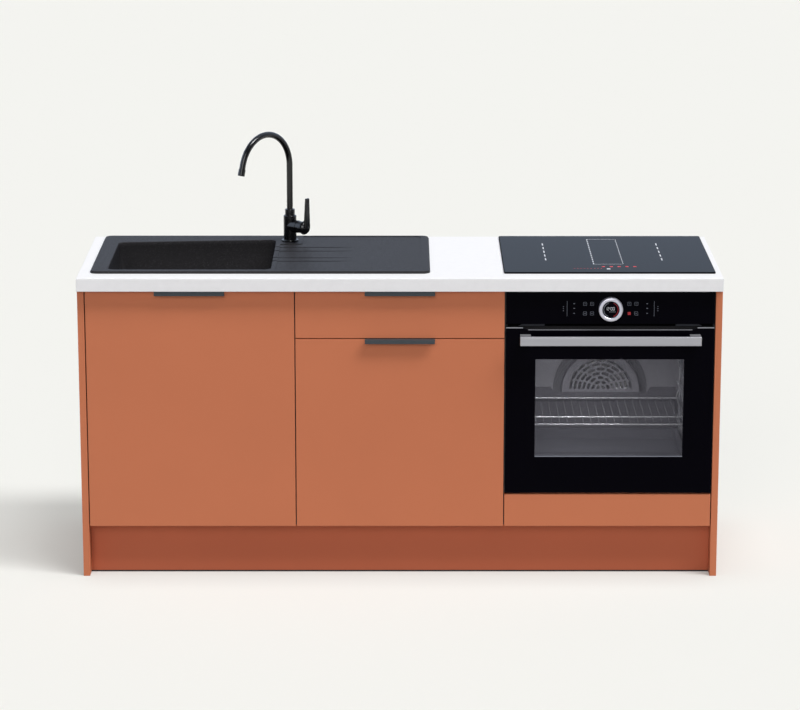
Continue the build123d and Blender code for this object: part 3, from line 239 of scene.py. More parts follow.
def coated(name, colour, roughness, drift, drift_scale, fine_scale, fine_depth,
           metallic=0.0, stretch=(1, 1, 1), specular=0.5):
    """Base recipe: the colour drifts by a share, at a slow scale. Roughness and bump follow a fine scale."""
    material, tree, shader = new_material(name)
    slow = grain(tree, drift_scale, stretch)
    fine = grain(tree, fine_scale, stretch)
    tone = ramp(tree, slow, shade(colour, 1 - drift), shade(colour, 1 + drift))
    tree.links.new(tone, shader.inputs["Base Color"])
    rough = stretch_range(tree, fine, 0.0, 1.0, roughness - ROUGHNESS_DRIFT, roughness + ROUGHNESS_DRIFT)
    tree.links.new(rough, shader.inputs["Roughness"])
    shader.inputs["Metallic"].default_value = metallic
    shader.inputs["Specular IOR Level"].default_value = specular
    bump(tree, shader, fine, fine_depth)
    return material


print("display grey 128 is", round(srgb(128, 128, 128)[0], 3), "in linear light")

# %% [markdown]
# Lacquered fronts show a faint orange-peel skin. The plinth's lacquer is painted a little darker: painted
# shade, for its place in the recess under the fronts. Boards are faced with melamine that has a shallow
# pearl texture, and the worktop is a matt white laminate with a very fine speckle. Apart from colour and
# gloss, they differ only in how coarse and how deep that texture is, so one recipe serves them all. After its
# colour, each finish gives its roughness, the share and the scale of its drift, and the scale and depth of
# its fine bump.

# %% Lacquer, board and laminate
MELAMINE = (srgb(240, 240, 238), 0.5, 0.015, 5.0, 700.0, 0.00008)
ORANGE_PEEL = (0.02, 3.0, 450.0, 0.00006)
finishes = {}
finishes["terracotta_lacquer"] = coated("terracotta lacquer", srgb(205, 122, 86), 0.46, *ORANGE_PEEL,
                                        specular=0.2)
finishes["white_board"] = coated("white board", *MELAMINE)
finishes["white_laminate"] = coated("white laminate", srgb(246, 245, 246), 0.48, 0.012, 60.0, 1400.0, 0.00003,
                                    specular=0.4)
finishes["white_plastic"] = coated("white plastic", srgb(228, 228, 224), 0.4, 0.02, 8.0, 1200.0, 0.00003)
finishes["black_plastic"] = coated("black plastic", srgb(26, 26, 28), 0.55, 0.08, 20.0, 1500.0, 0.00008)
# Painted shade: the plinth's lacquer is darker than the fronts', for the shade in its recess.
plinth_shaded_lacquer = coated("plinth lacquer with painted shade", srgb(193, 105, 75), 0.55, *ORANGE_PEEL, specular=0.1)
print(len(finishes), "board and plastic finishes")

# %% [markdown]
# The sink is a cast composite: dark grey resin filled with stone grains. Noise would give soft clouds, so a
# pattern of cells is used, in which a random number makes some grains darker and some paler. The bowl carries
# painted shade: darkest just under the rim, painted paler on the way down and a little darker again on its
# floor. In the same way, the carcass sides' front edges are painted dark, as painted shade in the gaps
# between the fronts.

# %% Sink composite, with painted shade in the bowl and the gaps
GRAIN_COUNT = 850.0                     # cells per metre
DARK_END, PALE_START, PALE_FULL = 0.16, 0.90, 0.99      # random numbers at which a grain turns dark or pale
GRAIN_ROUGHNESS = (0.42, 0.6)
GRAIN_DEPTH = 0.00005
GRAIN_SPECULAR = 0.08


def dim(tree, colour, factor):
    """Colour times a factor."""
    scaled = tree.nodes.new("ShaderNodeVectorMath")
    scaled.operation = "SCALE"
    tree.links.new(colour, scaled.inputs[0])
    tree.links.new(factor, scaled.inputs["Scale"])
    return scaled.outputs["Vector"]


def fade(material, axis, start, end, factor):
    """Scale a finish's colour along an axis: as it is up to start, times a factor at end and beyond."""
    tree = material.node_tree
    base = tree.nodes["Principled BSDF"].inputs["Base Color"]
    place = tree.nodes.new("ShaderNodeTexCoord")
    axes = tree.nodes.new("ShaderNodeSeparateXYZ")
    tree.links.new(place.outputs["Object"], axes.inputs["Vector"])
    share = stretch_range(tree, axes.outputs[axis], end, start, factor, 1.0)
    tree.links.new(dim(tree, base.links[0].from_socket, share), base)


def composite(name, colour, pale, dark):
    """Grey with scattered grains: a random number per cell picks out the pale and the dark ones."""
    material, tree, shader = new_material(name)
    place = tree.nodes.new("ShaderNodeTexCoord")
    cells = add_node(tree, "ShaderNodeTexVoronoi", Scale=GRAIN_COUNT)
    tree.links.new(place.outputs["Object"], cells.inputs["Vector"])
    split = tree.nodes.new("ShaderNodeSeparateColor")
    tree.links.new(cells.outputs["Color"], split.inputs["Color"])
    picks = tree.nodes.new("ShaderNodeValToRGB")
    stops = picks.color_ramp.elements
    stops[0].position, stops[0].color = 0.0, dark
    stops[1].position, stops[1].color = DARK_END, colour
    for position, stop_colour in ((PALE_START, colour), (PALE_FULL, pale)):
        stop = stops.new(position)
        stop.color = stop_colour
    tree.links.new(split.outputs["Red"], picks.inputs["Fac"])
    tree.links.new(picks.outputs["Color"], shader.inputs["Base Color"])
    rough = stretch_range(tree, split.outputs["Green"], 0.0, 1.0, *GRAIN_ROUGHNESS)
    tree.links.new(rough, shader.inputs["Roughness"])
    bump(tree, shader, split.outputs["Blue"], GRAIN_DEPTH)
    shader.inputs["Specular IOR Level"].default_value = GRAIN_SPECULAR
    return material


RIM_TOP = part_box("sink")[1][2]
# Painted shade and light in the bowl. Each: the depths under the rim where it starts and where it is
# full, and its factor.
BOWL_PAINTED_SHADE = ((0.004, 0.012, 0.62), (0.012, 0.110, 1.9), (0.120, 0.185, 0.68))
finishes["sink_composite"] = composite("sink composite", srgb(45, 44, 46), srgb(74, 72, 76), srgb(31, 30, 32))
for start, end, factor in BOWL_PAINTED_SHADE:
    fade(finishes["sink_composite"], "Z", RIM_TOP - start, RIM_TOP - end, factor)

BOARD_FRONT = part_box("carcass_sides")[0][1]
GAP_SHADE_DEPTHS = (0.0014, 0.0008)              # behind the front edge, where the white starts to turn and is dark
GAP_SHADE_FACTOR = 0.08
# Painted shade: the carcass sides' front edges turn dark, for the shade in the gaps between fronts.
gap_shaded_board = coated("gap shaded board", *MELAMINE)
fade(gap_shaded_board, "Y", BOARD_FRONT + GAP_SHADE_DEPTHS[0], BOARD_FRONT + GAP_SHADE_DEPTHS[1], GAP_SHADE_FACTOR)
print("sink composite with", len(BOWL_PAINTED_SHADE), "shades, and gap shaded board")

# %% [markdown]
# Metals. Sheet steel is brushed or rolled along one direction. An anisotropic shader could show that, but it
# needs tangents, so the noise is stretched that way instead. Powder coat and matt black have a close, sandy
# skin. Chrome wire is smooth. After the fine bump, a metal gives its metallic share, and a brushed one the
# stretch of its noise.

# %% Metals
BRUSHED_X, ROLLED_Y = (0.03, 1, 1), (1, 0.06, 1)
finishes["zinc_steel"] = coated("zinc steel", srgb(172, 174, 178), 0.38, 0.07, 30.0, 500.0, 0.00003, 1.0,
                                ROLLED_Y)
finishes["steel"] = coated("polished steel", srgb(190, 190, 193), 0.22, 0.05, 30.0, 600.0, 0.00002, 1.0)
finishes["bar_grey"] = coated("brushed bar", srgb(176, 176, 182), 0.38, 0.05, 60.0, 700.0, 0.00003, 0.6,
                              BRUSHED_X)
finishes["knob_grey"] = coated("satin knob", srgb(206, 205, 216), 0.42, 0.03, 60.0, 900.0, 0.00002, 0.85)
finishes["chrome_wire"] = coated("chrome wire", srgb(228, 230, 234), 0.2, 0.04, 40.0, 300.0, 0.00001, 0.62)
finishes["copper"] = coated("wound copper", srgb(190, 112, 74), 0.4, 0.15, 400.0, 900.0, 0.00012, 1.0)
finishes["element_steel"] = coated("element tube", srgb(84, 80, 80), 0.5, 0.12, 30.0, 700.0, 0.00004, 0.8)
finishes["pull_black"] = coated("powder coat", srgb(58, 64, 69), 0.5, 0.05, 40.0, 1600.0, 0.00006,
                                specular=0.4)
finishes["tap_black"] = coated("satin black tap", srgb(8, 8, 10), 0.2, 0.06, 60.0, 1500.0, 0.00001)
finishes["frame_black"] = coated("satin black frame", srgb(12, 12, 16), 0.4, 0.05, 20.0, 900.0, 0.00004,
                                 specular=0.06)
# Painted shade: near-black, no gloss, for the vent trim in the shaded slot and the hob glass's edge bead.
painted_shade_black = coated("painted shade black", srgb(5, 5, 6), 0.7, 0.05, 20.0, 900.0, 0.00004, specular=0.0)
print(len(finishes), "finishes so far")

# %% [markdown]
# The oven shelf's cross bars are bright, and the thin wires between them are dull. Two materials on one mesh
# could show that, but the mesh of a solid is left as it is. So one finish does both: it measures how far a
# point is from the nearest bar, front to back.

# %% Shelf wire
BAR_INSET, MIDDLE_BAR = 0.006, 0.090    # end bars from the shelf's edges, and the middle one from its front
BAR_EDGE = (0.0028, 0.0036)             # from a bar's middle, where bright starts to turn and is dull
DULL = 0.43                             # brightness of the thin wires, as a share of the bars'


def corners_of(node):
    """Lowest and highest corner of a solid, as arrays."""
    return [np.array(corner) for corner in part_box(node)]


shelf_low, shelf_high = corners_of("oven_wire_shelf")
BARS_Y = (shelf_low[1] + BAR_INSET, shelf_low[1] + MIDDLE_BAR, shelf_high[1] - BAR_INSET)
shelf_wire = coated("shelf wire", srgb(236, 238, 242), 0.2, 0.04, 40.0, 300.0, 0.00001, 0.55)
wire_tree = shelf_wire.node_tree
wire_colour = wire_tree.nodes["Principled BSDF"].inputs["Base Color"]
wire_axes = wire_tree.nodes.new("ShaderNodeSeparateXYZ")
wire_tree.links.new(wire_tree.nodes.new("ShaderNodeTexCoord").outputs["Object"], wire_axes.inputs["Vector"])
away = [link_math(wire_tree, "SUBTRACT", wire_axes.outputs["Y"], float(y)) for y in BARS_Y]
away = [link_math(wire_tree, "ABSOLUTE", gap, 0.0) for gap in away]
nearest = link_math(wire_tree, "MINIMUM", link_math(wire_tree, "MINIMUM", away[0], away[1]), away[2])
brightness = stretch_range(wire_tree, nearest, *BAR_EDGE, 1.0, DULL)
wire_tree.links.new(dim(wire_tree, wire_colour.links[0].from_socket, brightness), wire_colour)
print("shelf wire, bars at", [round(float(y), 3) for y in BARS_Y])

# %% [markdown]
# Oven linings are enamel: glassy grey with tiny pale flecks, and nearly black on the frame round the mouth.
# The fan's cover, the back plate and the tray each have a shade of their own. The arch round the cover is a
# darker enamel that is painted shade, for the shadow round the cover's rim. The flecks are the sink's grains
# in other colours, so the same function makes them. Seals are matt rubber.

# %% Enamel and rubber
MOUTH_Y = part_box("oven_cavity")[0][1]
MOUTH_FRAME = (0.0027, 0.0021)          # behind the mouth's front, where grey starts to turn and is dark
MOUTH_SHADE = 0.10
finishes["enamel"] = composite("oven enamel", srgb(164, 163, 170), srgb(186, 186, 192), srgb(136, 135, 142))
fade(finishes["enamel"], "Y", MOUTH_Y + MOUTH_FRAME[0], MOUTH_Y + MOUTH_FRAME[1], MOUTH_SHADE)
# Painted shade: the arch's darker enamel stands for the shadow round the fan cover's rim.
arch_shade_enamel = composite("arch shade enamel", srgb(116, 116, 121), srgb(136, 136, 141), srgb(96, 96, 100))
fan_enamel = composite("fan enamel", srgb(144, 143, 150), srgb(164, 164, 170), srgb(120, 119, 126))
plate_enamel = composite("plate enamel", srgb(104, 103, 109), srgb(126, 126, 132), srgb(84, 83, 89))
tray_enamel = composite("tray enamel", srgb(112, 113, 121), srgb(134, 135, 143), srgb(94, 95, 102))
finishes["seal_rubber"] = coated("seal rubber", srgb(24, 24, 25), 0.7, 0.08, 50.0, 1200.0, 0.00008)
print("five enamels and a rubber,", len(finishes), "finishes so far")

# %% [markdown]
# Glass. Printed black glass is opaque and smooth, with only a breath of dust in its roughness. The oven's
# window is see-through. A shader that bends light would make the inside grainy and dark, so the window uses
# alpha, which lets the room light reach the oven's inside.

# %% Glass
FILM_SCALE = 14.0
FILM_DRIFT = 0.06
FILM_ROUGHNESS = 0.03


def glass(name, colour, roughness, specular, alpha=1.0):
    """Smooth sheet: one slow film of dust drifts its colour by a share and adds to its roughness."""
    material, tree, shader = new_material(name)
    film = grain(tree, FILM_SCALE)
    tone = ramp(tree, film, shade(colour, 1 - FILM_DRIFT), shade(colour, 1 + FILM_DRIFT))
    tree.links.new(tone, shader.inputs["Base Color"])
    rough = stretch_range(tree, film, 0.0, 1.0, roughness, roughness + FILM_ROUGHNESS)
    tree.links.new(rough, shader.inputs["Roughness"])
    shader.inputs["Specular IOR Level"].default_value = specular
    shader.inputs["Alpha"].default_value = alpha
    return material


finishes["hob_glass"] = glass("hob glass", srgb(17, 22, 29), 0.12, 0.0118)
finishes["black_glass"] = glass("black glass", srgb(4, 3, 9), 0.06, 0.02)
finishes["door_glass"] = glass("window glass", srgb(80, 79, 86), 0.04, 0.05, 0.28)
clear_glass = glass("inner glass", srgb(96, 95, 102), 0.04, 0.05, 0.08)
print("four kinds of glass,", len(finishes), "finishes in all")

# %% [markdown]
# Every solid of the frame takes the finish of its slot in the record, so a solid that is added later is
# dressed too. Seven have a variant of their own.

# %% Dress the solids
for part in frame["record"]["subparts"]:
    solid = nodes[part["node"]]
    solid.data.materials.clear()
    solid.data.materials.append(finishes[part["material_slot"]])
# Three variants carry painted shade: the plinth, the carcass sides' edges and the vent trim.
own = {"oven_door_inner_glass": clear_glass, "oven_baking_tray": tray_enamel, "oven_wire_shelf": shelf_wire,
       "oven_vent_trim": painted_shade_black, "plinth": plinth_shaded_lacquer, "carcass_sides": gap_shaded_board,
       "oven_fan_cover": fan_enamel}
for name, material in own.items():
    nodes[name].data.materials[0] = material

# %% [markdown]
# New pieces. Ready-made cubes and modifiers could shape them, but a grid of points says exactly where each
# edge lies. Row by row, neighbours are joined into quads. Closing the grid in one direction makes a tube, and
# in both directions a ring. The plainest shape is a bar along X, whose heights change from station to
# station.

# %% Mesh helpers
def make_piece(name, points, faces, ends=(), smooth=False):
    """Object at the origin from a point array, a quad array and any faces that close its ends."""
    mesh = bpy.data.meshes.new(name)
    all_faces = np.asarray(faces).tolist() + [np.asarray(end).tolist() for end in ends]
    mesh.from_pydata(np.asarray(points, float).reshape(-1, 3).tolist(), [], all_faces)
    mesh.polygons.foreach_set("use_smooth", np.full(len(mesh.polygons), smooth))
    mesh.update()
    piece = bpy.data.objects.new(name, mesh)
    scene.collection.objects.link(piece)
    return piece


def grid_faces(rows, columns, wrap_rows=False, wrap_columns=False):
    """Quads of a grid: each joins a point, its right neighbour, the one above that, and the one above it."""
    r = np.arange(rows if wrap_rows else rows - 1)
    c = np.arange(columns if wrap_columns else columns - 1)
    r, c = (a.ravel() for a in np.meshgrid(r, c, indexing="ij"))
    r1, c1 = (r + 1) % rows, (c + 1) % columns
    return np.stack([r * columns + c, r * columns + c1, r1 * columns + c1, r1 * columns + c], 1)


def bar_along_x(name, x, low, high, y):
    """Closed bar: at each x it stands from height low to height high, between the depths y[0] and y[1]."""
    x, low, high = np.broadcast_arrays(np.asarray(x, float), low, high)
    corners = [(low, y[0]), (high, y[0]), (high, y[1]), (low, y[1])]
    points = np.stack([np.stack([x, np.full(len(x), depth), z], 1) for z, depth in corners])
    first = np.arange(4) * len(x)
    return make_piece(name, points, grid_faces(4, len(x), wrap_rows=True), [first, first[::-1] + len(x) - 1])


def finish_piece(piece, body, material, replaced=()):
    """Give a new piece its material and the body it moves with, and hide the solids that it replaces."""
    piece.data.materials.append(material)
    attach(piece, body)
    if replaced:
        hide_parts(*replaced)
    print(piece.name, len(piece.data.polygons), "faces")


print("a grid of 3 by 4 points has", len(grid_faces(3, 4)), "quads")

# %% [markdown]
# The oven door's outer glass is printed black all round and clear in the middle. One sheet with a mask in its
# material would have a soft edge there, so it is made as two pieces: a ring of black glass whose outside
# follows the door's dipped top edge, and a clear pane inside it.

# %% Oven door glass
glass_low, glass_high = corners_of("oven_door_glass")
front, back = glass_low[1], glass_high[1]
door_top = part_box("oven_door_frame")[1][2]
OVEN_X = (glass_low[0] + glass_high[0]) / 2
GLASS_HALF = (glass_high[0] - glass_low[0]) / 2
DIP = 0.0055                            # how far the middle of the top edge lies lower
DIP_FLAT, DIP_END = 0.234, 0.249        # half widths of the dip, at its bottom and with its slopes
DIP_STATIONS = np.array([-GLASS_HALF, -DIP_END, -DIP_FLAT, DIP_FLAT, DIP_END, GLASS_HALF])
DIPS = np.array([0, 0, 1, 1, 0, 0]) * DIP
WINDOW_HALF = 0.2125
WINDOW_Z = (0.3596, 0.6486)
PANE_INSET = 0.0004


def panel_loop(x, low, high):
    """Loop round a panel: along the bottom from left to right, then back along the top."""
    bottom = np.stack([x, np.full(len(x), low)], 1)
    top = np.stack([x, np.broadcast_to(high, x.shape)], 1)[::-1]
    return np.concatenate([bottom, top])


outer = panel_loop(DIP_STATIONS, glass_low[2], glass_high[2] - DIPS)
inner = panel_loop(DIP_STATIONS * WINDOW_HALF / GLASS_HALF, *WINDOW_Z)
rows = [(inner, front), (outer, front), (outer, back), (inner, back)]
ring = np.stack([np.stack([OVEN_X + loop[:, 0], np.full(len(loop), y), loop[:, 1]], 1) for loop, y in rows])
border = make_piece("oven_door_border", ring, grid_faces(4, len(outer), True, True)[:, ::-1])
finish_piece(border, "oven_door", finishes["black_glass"], ["oven_door_glass"])

window_x = OVEN_X + np.array([-WINDOW_HALF, WINDOW_HALF])
pane = bar_along_x("oven_door_pane", window_x, *WINDOW_Z, (front + PANE_INSET, back - PANE_INSET))
finish_piece(pane, "oven_door", finishes["door_glass"])

# %% [markdown]
# Slim trims round the glass. A pale strip follows the door's top edge in three lengths: one at each side and
# a thinner one in the dip, with nothing on the slopes between them. Its pale grey is a painted highlight, for
# the glint along the top edge of the glass. The window has a lower lip. A painted line would not catch the
# light, so each trim is a bar that catches the lamps' light too.

# %% Oven door trims
SATIN = (0.34, 0.05, 40.0, 800.0, 0.00002, 0.1, BRUSHED_X)
# Painted highlight: the pale trim stands for the glint on the glass's top edge.
glint_trim = coated("glint trim", srgb(156, 157, 164), *SATIN)
lip_grey = coated("lip grey", srgb(126, 130, 142), *SATIN)
guide_grey = coated("air guide", srgb(52, 54, 60), 0.5, 0.06, 40.0, 1200.0, 0.00004, specular=0.1)

# Each length: its name, the stations of its two ends, and how much thinner it is.
TRIM_LENGTHS = (("left", [0, 1], 0.0), ("middle", [2, 3], 0.0009), ("right", [4, 5], 0.0))
TRIM_FOOT, TRIM_HEAD = 0.0002, 0.0001   # gaps to the glass below and to the door's top edge
TRIM_DEPTH = (-0.0003, 0.0003)          # from the front of the glass
for name, ends, thinner in TRIM_LENGTHS:
    trim_low = glass_high[2] - DIPS[ends] + TRIM_FOOT
    trim_high = door_top - DIPS[ends] - TRIM_HEAD - thinner
    trim = bar_along_x(f"oven_door_glint_trim_{name}", OVEN_X + DIP_STATIONS[ends], trim_low, trim_high,
                       (front + TRIM_DEPTH[0], front + TRIM_DEPTH[1]))
    finish_piece(trim, "oven_door", glint_trim)

LIP_HEIGHT = 0.0026
LIP_DEPTH = (0.0001, 0.0005)            # from the front of the glass
lip = bar_along_x("oven_window_lip", window_x, WINDOW_Z[0], WINDOW_Z[0] + LIP_HEIGHT,
                  (front + LIP_DEPTH[0], front + LIP_DEPTH[1]))
finish_piece(lip, "oven_door", lip_grey)

# %% [markdown]
# A pair of air guides stands in the slot above the door. Each is a low bar with one sloping end, so three
# stations along X give its outline, and the right one is the left one mirrored.

# %% Air guides
GUIDE_X = np.array([0.262, 0.250, 0.187])           # outer end, shoulder and inner end, from the middle
GUIDE_RISE = np.array([0.0006, 0.0062, 0.0062])     # height at those places
GUIDE_FOOT = 0.0004
GUIDE_DEPTH = (-0.0030, -0.0002)                    # from the front of the vent
vent_low = corners_of("oven_vent_trim")[0]
for name, side in (("left", -1), ("right", 1)):
    guide_x = np.sort(OVEN_X + side * GUIDE_X)
    guide_high = vent_low[2] + GUIDE_RISE[::-side]
    guide = bar_along_x(f"oven_air_guide_{name}", guide_x, vent_low[2] + GUIDE_FOOT, guide_high,
                        (vent_low[1] + GUIDE_DEPTH[0], vent_low[1] + GUIDE_DEPTH[1]))
    finish_piece(guide, "cabinet", guide_grey)

# %% [markdown]
# Printed marks. A picture on the glass would blur when seen from close by, so each group of marks is a thin
# film a tenth of a millimetre above it: a list of small rectangles, given by centre, width and height, laid
# on the hob (seen from above) or on the fascia (seen from the front).

# %% Inks and flat marks
FILM = 0.0001


def ink(name, colour):
    """Matt print in one colour."""
    return coated(name, colour, 0.5, 0.03, 200.0, 1500.0, 0.00001)


def flat_marks(name, rects, plane, level, material):
    """Rectangles (u, v, width, height) as quads. Plane "top" maps u, v to x, y, and "front" to x, z."""
    r = np.asarray(rects, float)
    signs = np.array([(-1, -1), (1, -1), (1, 1), (-1, 1)]) / 2
    corners = r[:, None, :2] + signs[None] * r[:, None, 2:]
    flat = np.full(corners.shape[:2] + (1,), level)
    if plane == "top":
        points = np.concatenate([corners, flat], 2)
    else:
        points = np.concatenate([corners[..., :1], flat, corners[..., 1:]], 2)
    piece = make_piece(name, points, np.arange(len(r) * 4).reshape(-1, 4))
    finish_piece(piece, "cabinet", material)


def row(u0, u1, v, count, width, height):
    """Evenly spaced marks along u."""
    u = np.linspace(u0, u1, count)
    return np.stack([u, np.full(count, v), np.full(count, width), np.full(count, height)], 1)


def column(u, v0, v1, count, width, height):
    """Evenly spaced marks along v."""
    v = np.linspace(v0, v1, count)
    return np.stack([np.full(count, u), v, np.full(count, width), np.full(count, height)], 1)


ink_white = ink("white print", srgb(214, 216, 222))
ink_grey = ink("grey print", srgb(138, 143, 152))
ink_dim = ink("dim print", srgb(92, 96, 108))
ink_red = ink("red print", srgb(226, 46, 52))
ink_deep = ink("deep red print", srgb(168, 22, 34))
print("five inks")

# %% [markdown]
# The hob has a fine dotted frame in the middle, dashed on its left side, and a column of dashes either side
# of it. Near the front edge lie the touch keys, a dotted slider and one key mark. All repeat evenly, so each
# line is a row or a column with a count.

# %% Hob marks
hob_low, hob_high = corners_of("hob_glass")
HOB_TOP = hob_high[2] + FILM
HOB_FRONT = hob_low[1]
ZONE_X = (0.560, 0.645)
ZONE_Y = (HOB_FRONT + 0.110, HOB_FRONT + 0.468)
DASH = 0.0180
BRIDGE_X = (0.424, 0.762)
BRIDGE_Y = (HOB_FRONT + 0.179, HOB_FRONT + 0.392)
BRIDGE_DASH = 0.0300
TOUCH_X, TOUCH_Y = (0.586, 0.676), HOB_FRONT + 0.076
SLIDER_X, SLIDER_Y = (0.501, 0.578), HOB_FRONT + 0.051
KEY_MARK = (0.599, HOB_FRONT + 0.045, 0.010, 0.014)

zone = [row(*ZONE_X, ZONE_Y[0], 22, 0.0026, 0.0030), row(*ZONE_X, ZONE_Y[1], 22, 0.0026, 0.0034),
        column(ZONE_X[1], *ZONE_Y, 60, 0.0024, 0.0036)]
flat_marks("hob_zone_marks", np.concatenate(zone), "top", HOB_TOP, ink_white)
ladder = [column(ZONE_X[0], ZONE_Y[0] + DASH / 2, ZONE_Y[1] - DASH / 2, 13, 0.0032, DASH)]
ladder += [column(x, *BRIDGE_Y, 5, 0.0036, BRIDGE_DASH) for x in BRIDGE_X]
flat_marks("hob_ladder_marks", np.concatenate(ladder), "top", HOB_TOP, ink_white)
touch = [row(*TOUCH_X, TOUCH_Y, 5, 0.009, 0.010), row(*SLIDER_X, SLIDER_Y, 9, 0.0028, 0.004)]
flat_marks("hob_touch_marks", np.concatenate(touch), "top", HOB_TOP, ink_red)
flat_marks("hob_key_mark", [KEY_MARK], "top", HOB_TOP, ink_white)

# %% [markdown]
# The fascia has a dial in the middle with small symbols either side. The symbols are kept generic:
# short bars, dots and fine rules.

# %% Fascia marks
FASCIA_FRONT = corners_of("oven_fascia")[0][1] - FILM
DIAL_Z = 0.797
ICON_X = (0.053, 0.073)                 # places are from the dial's middle
ICON_Z = 0.014
SHORT_BAR_X, SHORT_BAR_Z = 0.104, (0.0145, 0.001, -0.0135)
RULE_X, RULE_HEIGHT = 0.124, 0.044
DOT_X, DOT_Z, DOT = 0.1345, 0.006, 0.0022
RED_MARK = 0.0085


def beside_dial(dx, dz, width, height):
    """The same mark at one distance either side of the dial."""
    return np.array([(OVEN_X + side * dx, DIAL_Z + dz, width, height) for side in (-1, 1)])


def icon(x, z, size=0.0095, line=0.0009):
    """Small outlined square with a bar inside, half as long and a little thicker than the outline."""
    half = size / 2
    level = [(x, z + half, size, line), (x, z - half, size, line)]
    upright = [(x - half, z, line, size), (x + half, z, line, size)]
    return level + upright + [(x, z, size * 0.5, line * 1.6)]


places = [(side, dx, up) for side in (-1, 1) for dx in ICON_X for up in (-1, 1)]
places.remove((1, ICON_X[0], -1))       # the red mark stands here
icons = [icon(OVEN_X + side * dx, DIAL_Z + up * ICON_Z) for side, dx, up in places]
short_bars = [beside_dial(SHORT_BAR_X, dz, 0.0045, 0.0022) for dz in SHORT_BAR_Z]
rules = [beside_dial(RULE_X, 0.0, 0.0010, RULE_HEIGHT), beside_dial(DOT_X, DOT_Z, DOT, DOT),
         beside_dial(DOT_X, 0.0, 0.0030, 0.0016), beside_dial(DOT_X, -DOT_Z, DOT, DOT)]
flat_marks("fascia_icons", np.concatenate(icons), "front", FASCIA_FRONT, ink_dim)
flat_marks("fascia_small_marks", np.concatenate(short_bars), "front", FASCIA_FRONT, ink_dim)
flat_marks("fascia_rules", np.concatenate(rules), "front", FASCIA_FRONT, ink_dim)
red_mark = (OVEN_X + ICON_X[0], DIAL_Z - ICON_Z, RED_MARK, RED_MARK)
flat_marks("fascia_red_mark", [red_mark], "front", FASCIA_FRONT, ink_deep)

# %% [markdown]
# The dial's middle is a small display. It shows a plain clock reading, one short line under it and two arcs
# round it. Text objects would bring a font along, so the numerals are put together from bars.

# %% Dial display
DISPLAY_FRONT = corners_of("oven_display")[0][1] - FILM
SEGMENTS = {"1": "bc", "2": "abged", "0": "abcdef"}
BARS = {"a": (0, 1, 1), "b": (0.5, 0.5, 0), "c": (0.5, -0.5, 0), "d": (0, -1, 1), "e": (-0.5, -0.5, 0),
        "f": (-0.5, 0.5, 0), "g": (0, 0, 1)}        # place to the side and up, and whether the bar lies flat
HOURS_X, COLON_X, MINUTES_X = -0.0105, -0.0030, 0.0045
DIGIT_HEIGHT = 0.0085
COLON_RISE, COLON_DOT = 0.002, 0.0010
CLOCK_Z = DIAL_Z + 0.003
LINE_X = (OVEN_X - 0.004, OVEN_X + 0.012)
LINE_Z = DIAL_Z - 0.006
ARC_RADIUS = 0.0205


def digits(text, x, z, height):
    """Seven-bar numerals, three quarters of their height apart. Each bar is 0.42 of the height long and 0.11
    thick, and BARS gives its place in half heights."""
    thick, long = height * 0.11, height * 0.42
    rects = []
    for i, sign in enumerate(text):
        middle = x + (i - (len(text) - 1) / 2) * height * 0.75
        for name in SEGMENTS[sign]:
            u, v, lies = BARS[name]
            size = (long, thick) if lies else (thick, long)
            rects.append((middle + u * height * 0.5, z + v * height * 0.5, *size))
    return rects


def arc_band(name, width, start, end, material):
    """Flat band on a circle: angle along, radius across, facing the front."""
    angle = np.radians(np.linspace(start, end, 40))[:, None]
    r = ARC_RADIUS + np.array([[-0.5, 0.5]]) * width
    level = np.full_like(r * angle, DISPLAY_FRONT)
    points = np.stack([OVEN_X + r * np.sin(angle), level, DIAL_Z + r * np.cos(angle)], 2)
    band = make_piece(name, points, grid_faces(len(angle), 2)[:, ::-1])
    finish_piece(band, "cabinet", material)


reading = digits("12", OVEN_X + HOURS_X, CLOCK_Z, DIGIT_HEIGHT)
reading += digits("00", OVEN_X + MINUTES_X, CLOCK_Z, DIGIT_HEIGHT)
reading += [(OVEN_X + COLON_X, CLOCK_Z + dz, COLON_DOT, COLON_DOT) for dz in (-COLON_RISE, COLON_RISE)]
flat_marks("dial_digits", reading, "front", DISPLAY_FRONT, ink_white)
flat_marks("dial_small_line", row(*LINE_X, LINE_Z, 6, 0.0019, 0.0016), "front", DISPLAY_FRONT, ink_grey)
arc_band("dial_red_arc", 0.0016, 20, 160, ink_deep)
arc_band("dial_grey_arc", 0.0010, 200, 340, ink_grey)

# %% [markdown]
# Beads, arches and bent wires are each one profile carried along a path. A curve with a bevel could do that,
# but a grid lets the profile be an oval or a flat sheet, with few faces and closed ends.

# %% Carried profiles
def sweep(name, path, profile, square_to, closed=False, smooth=True):
    """Carry a profile along a path. Its first number goes sideways, square to the path and to a fixed
    direction, and its second goes square to the path and to that side."""
    path, profile = np.asarray(path, float), np.asarray(profile, float)
    along = np.roll(path, -1, 0) - np.roll(path, 1, 0) if closed else np.gradient(path, axis=0)
    along = along / np.linalg.norm(along, axis=1, keepdims=True)
    side = np.cross(along, np.asarray(square_to, float))
    side = side / np.linalg.norm(side, axis=1, keepdims=True)
    lift = np.cross(side, along)
    points = path[:, None] + profile[None, :, :1] * side[:, None] + profile[None, :, 1:] * lift[:, None]
    rows, columns = points.shape[:2]
    first = np.arange(columns)
    ends = () if closed else (first, first[::-1] + (rows - 1) * columns)
    return make_piece(name, points, grid_faces(rows, columns, closed, True)[:, ::-1], ends, smooth)


def oval(width, height, count=12):
    """Oval profile: half width times cosine, half height times sine."""
    turn = np.linspace(0, 2 * np.pi, count, endpoint=False)
    return np.stack([width / 2 * np.cos(turn), height / 2 * np.sin(turn)], 1)


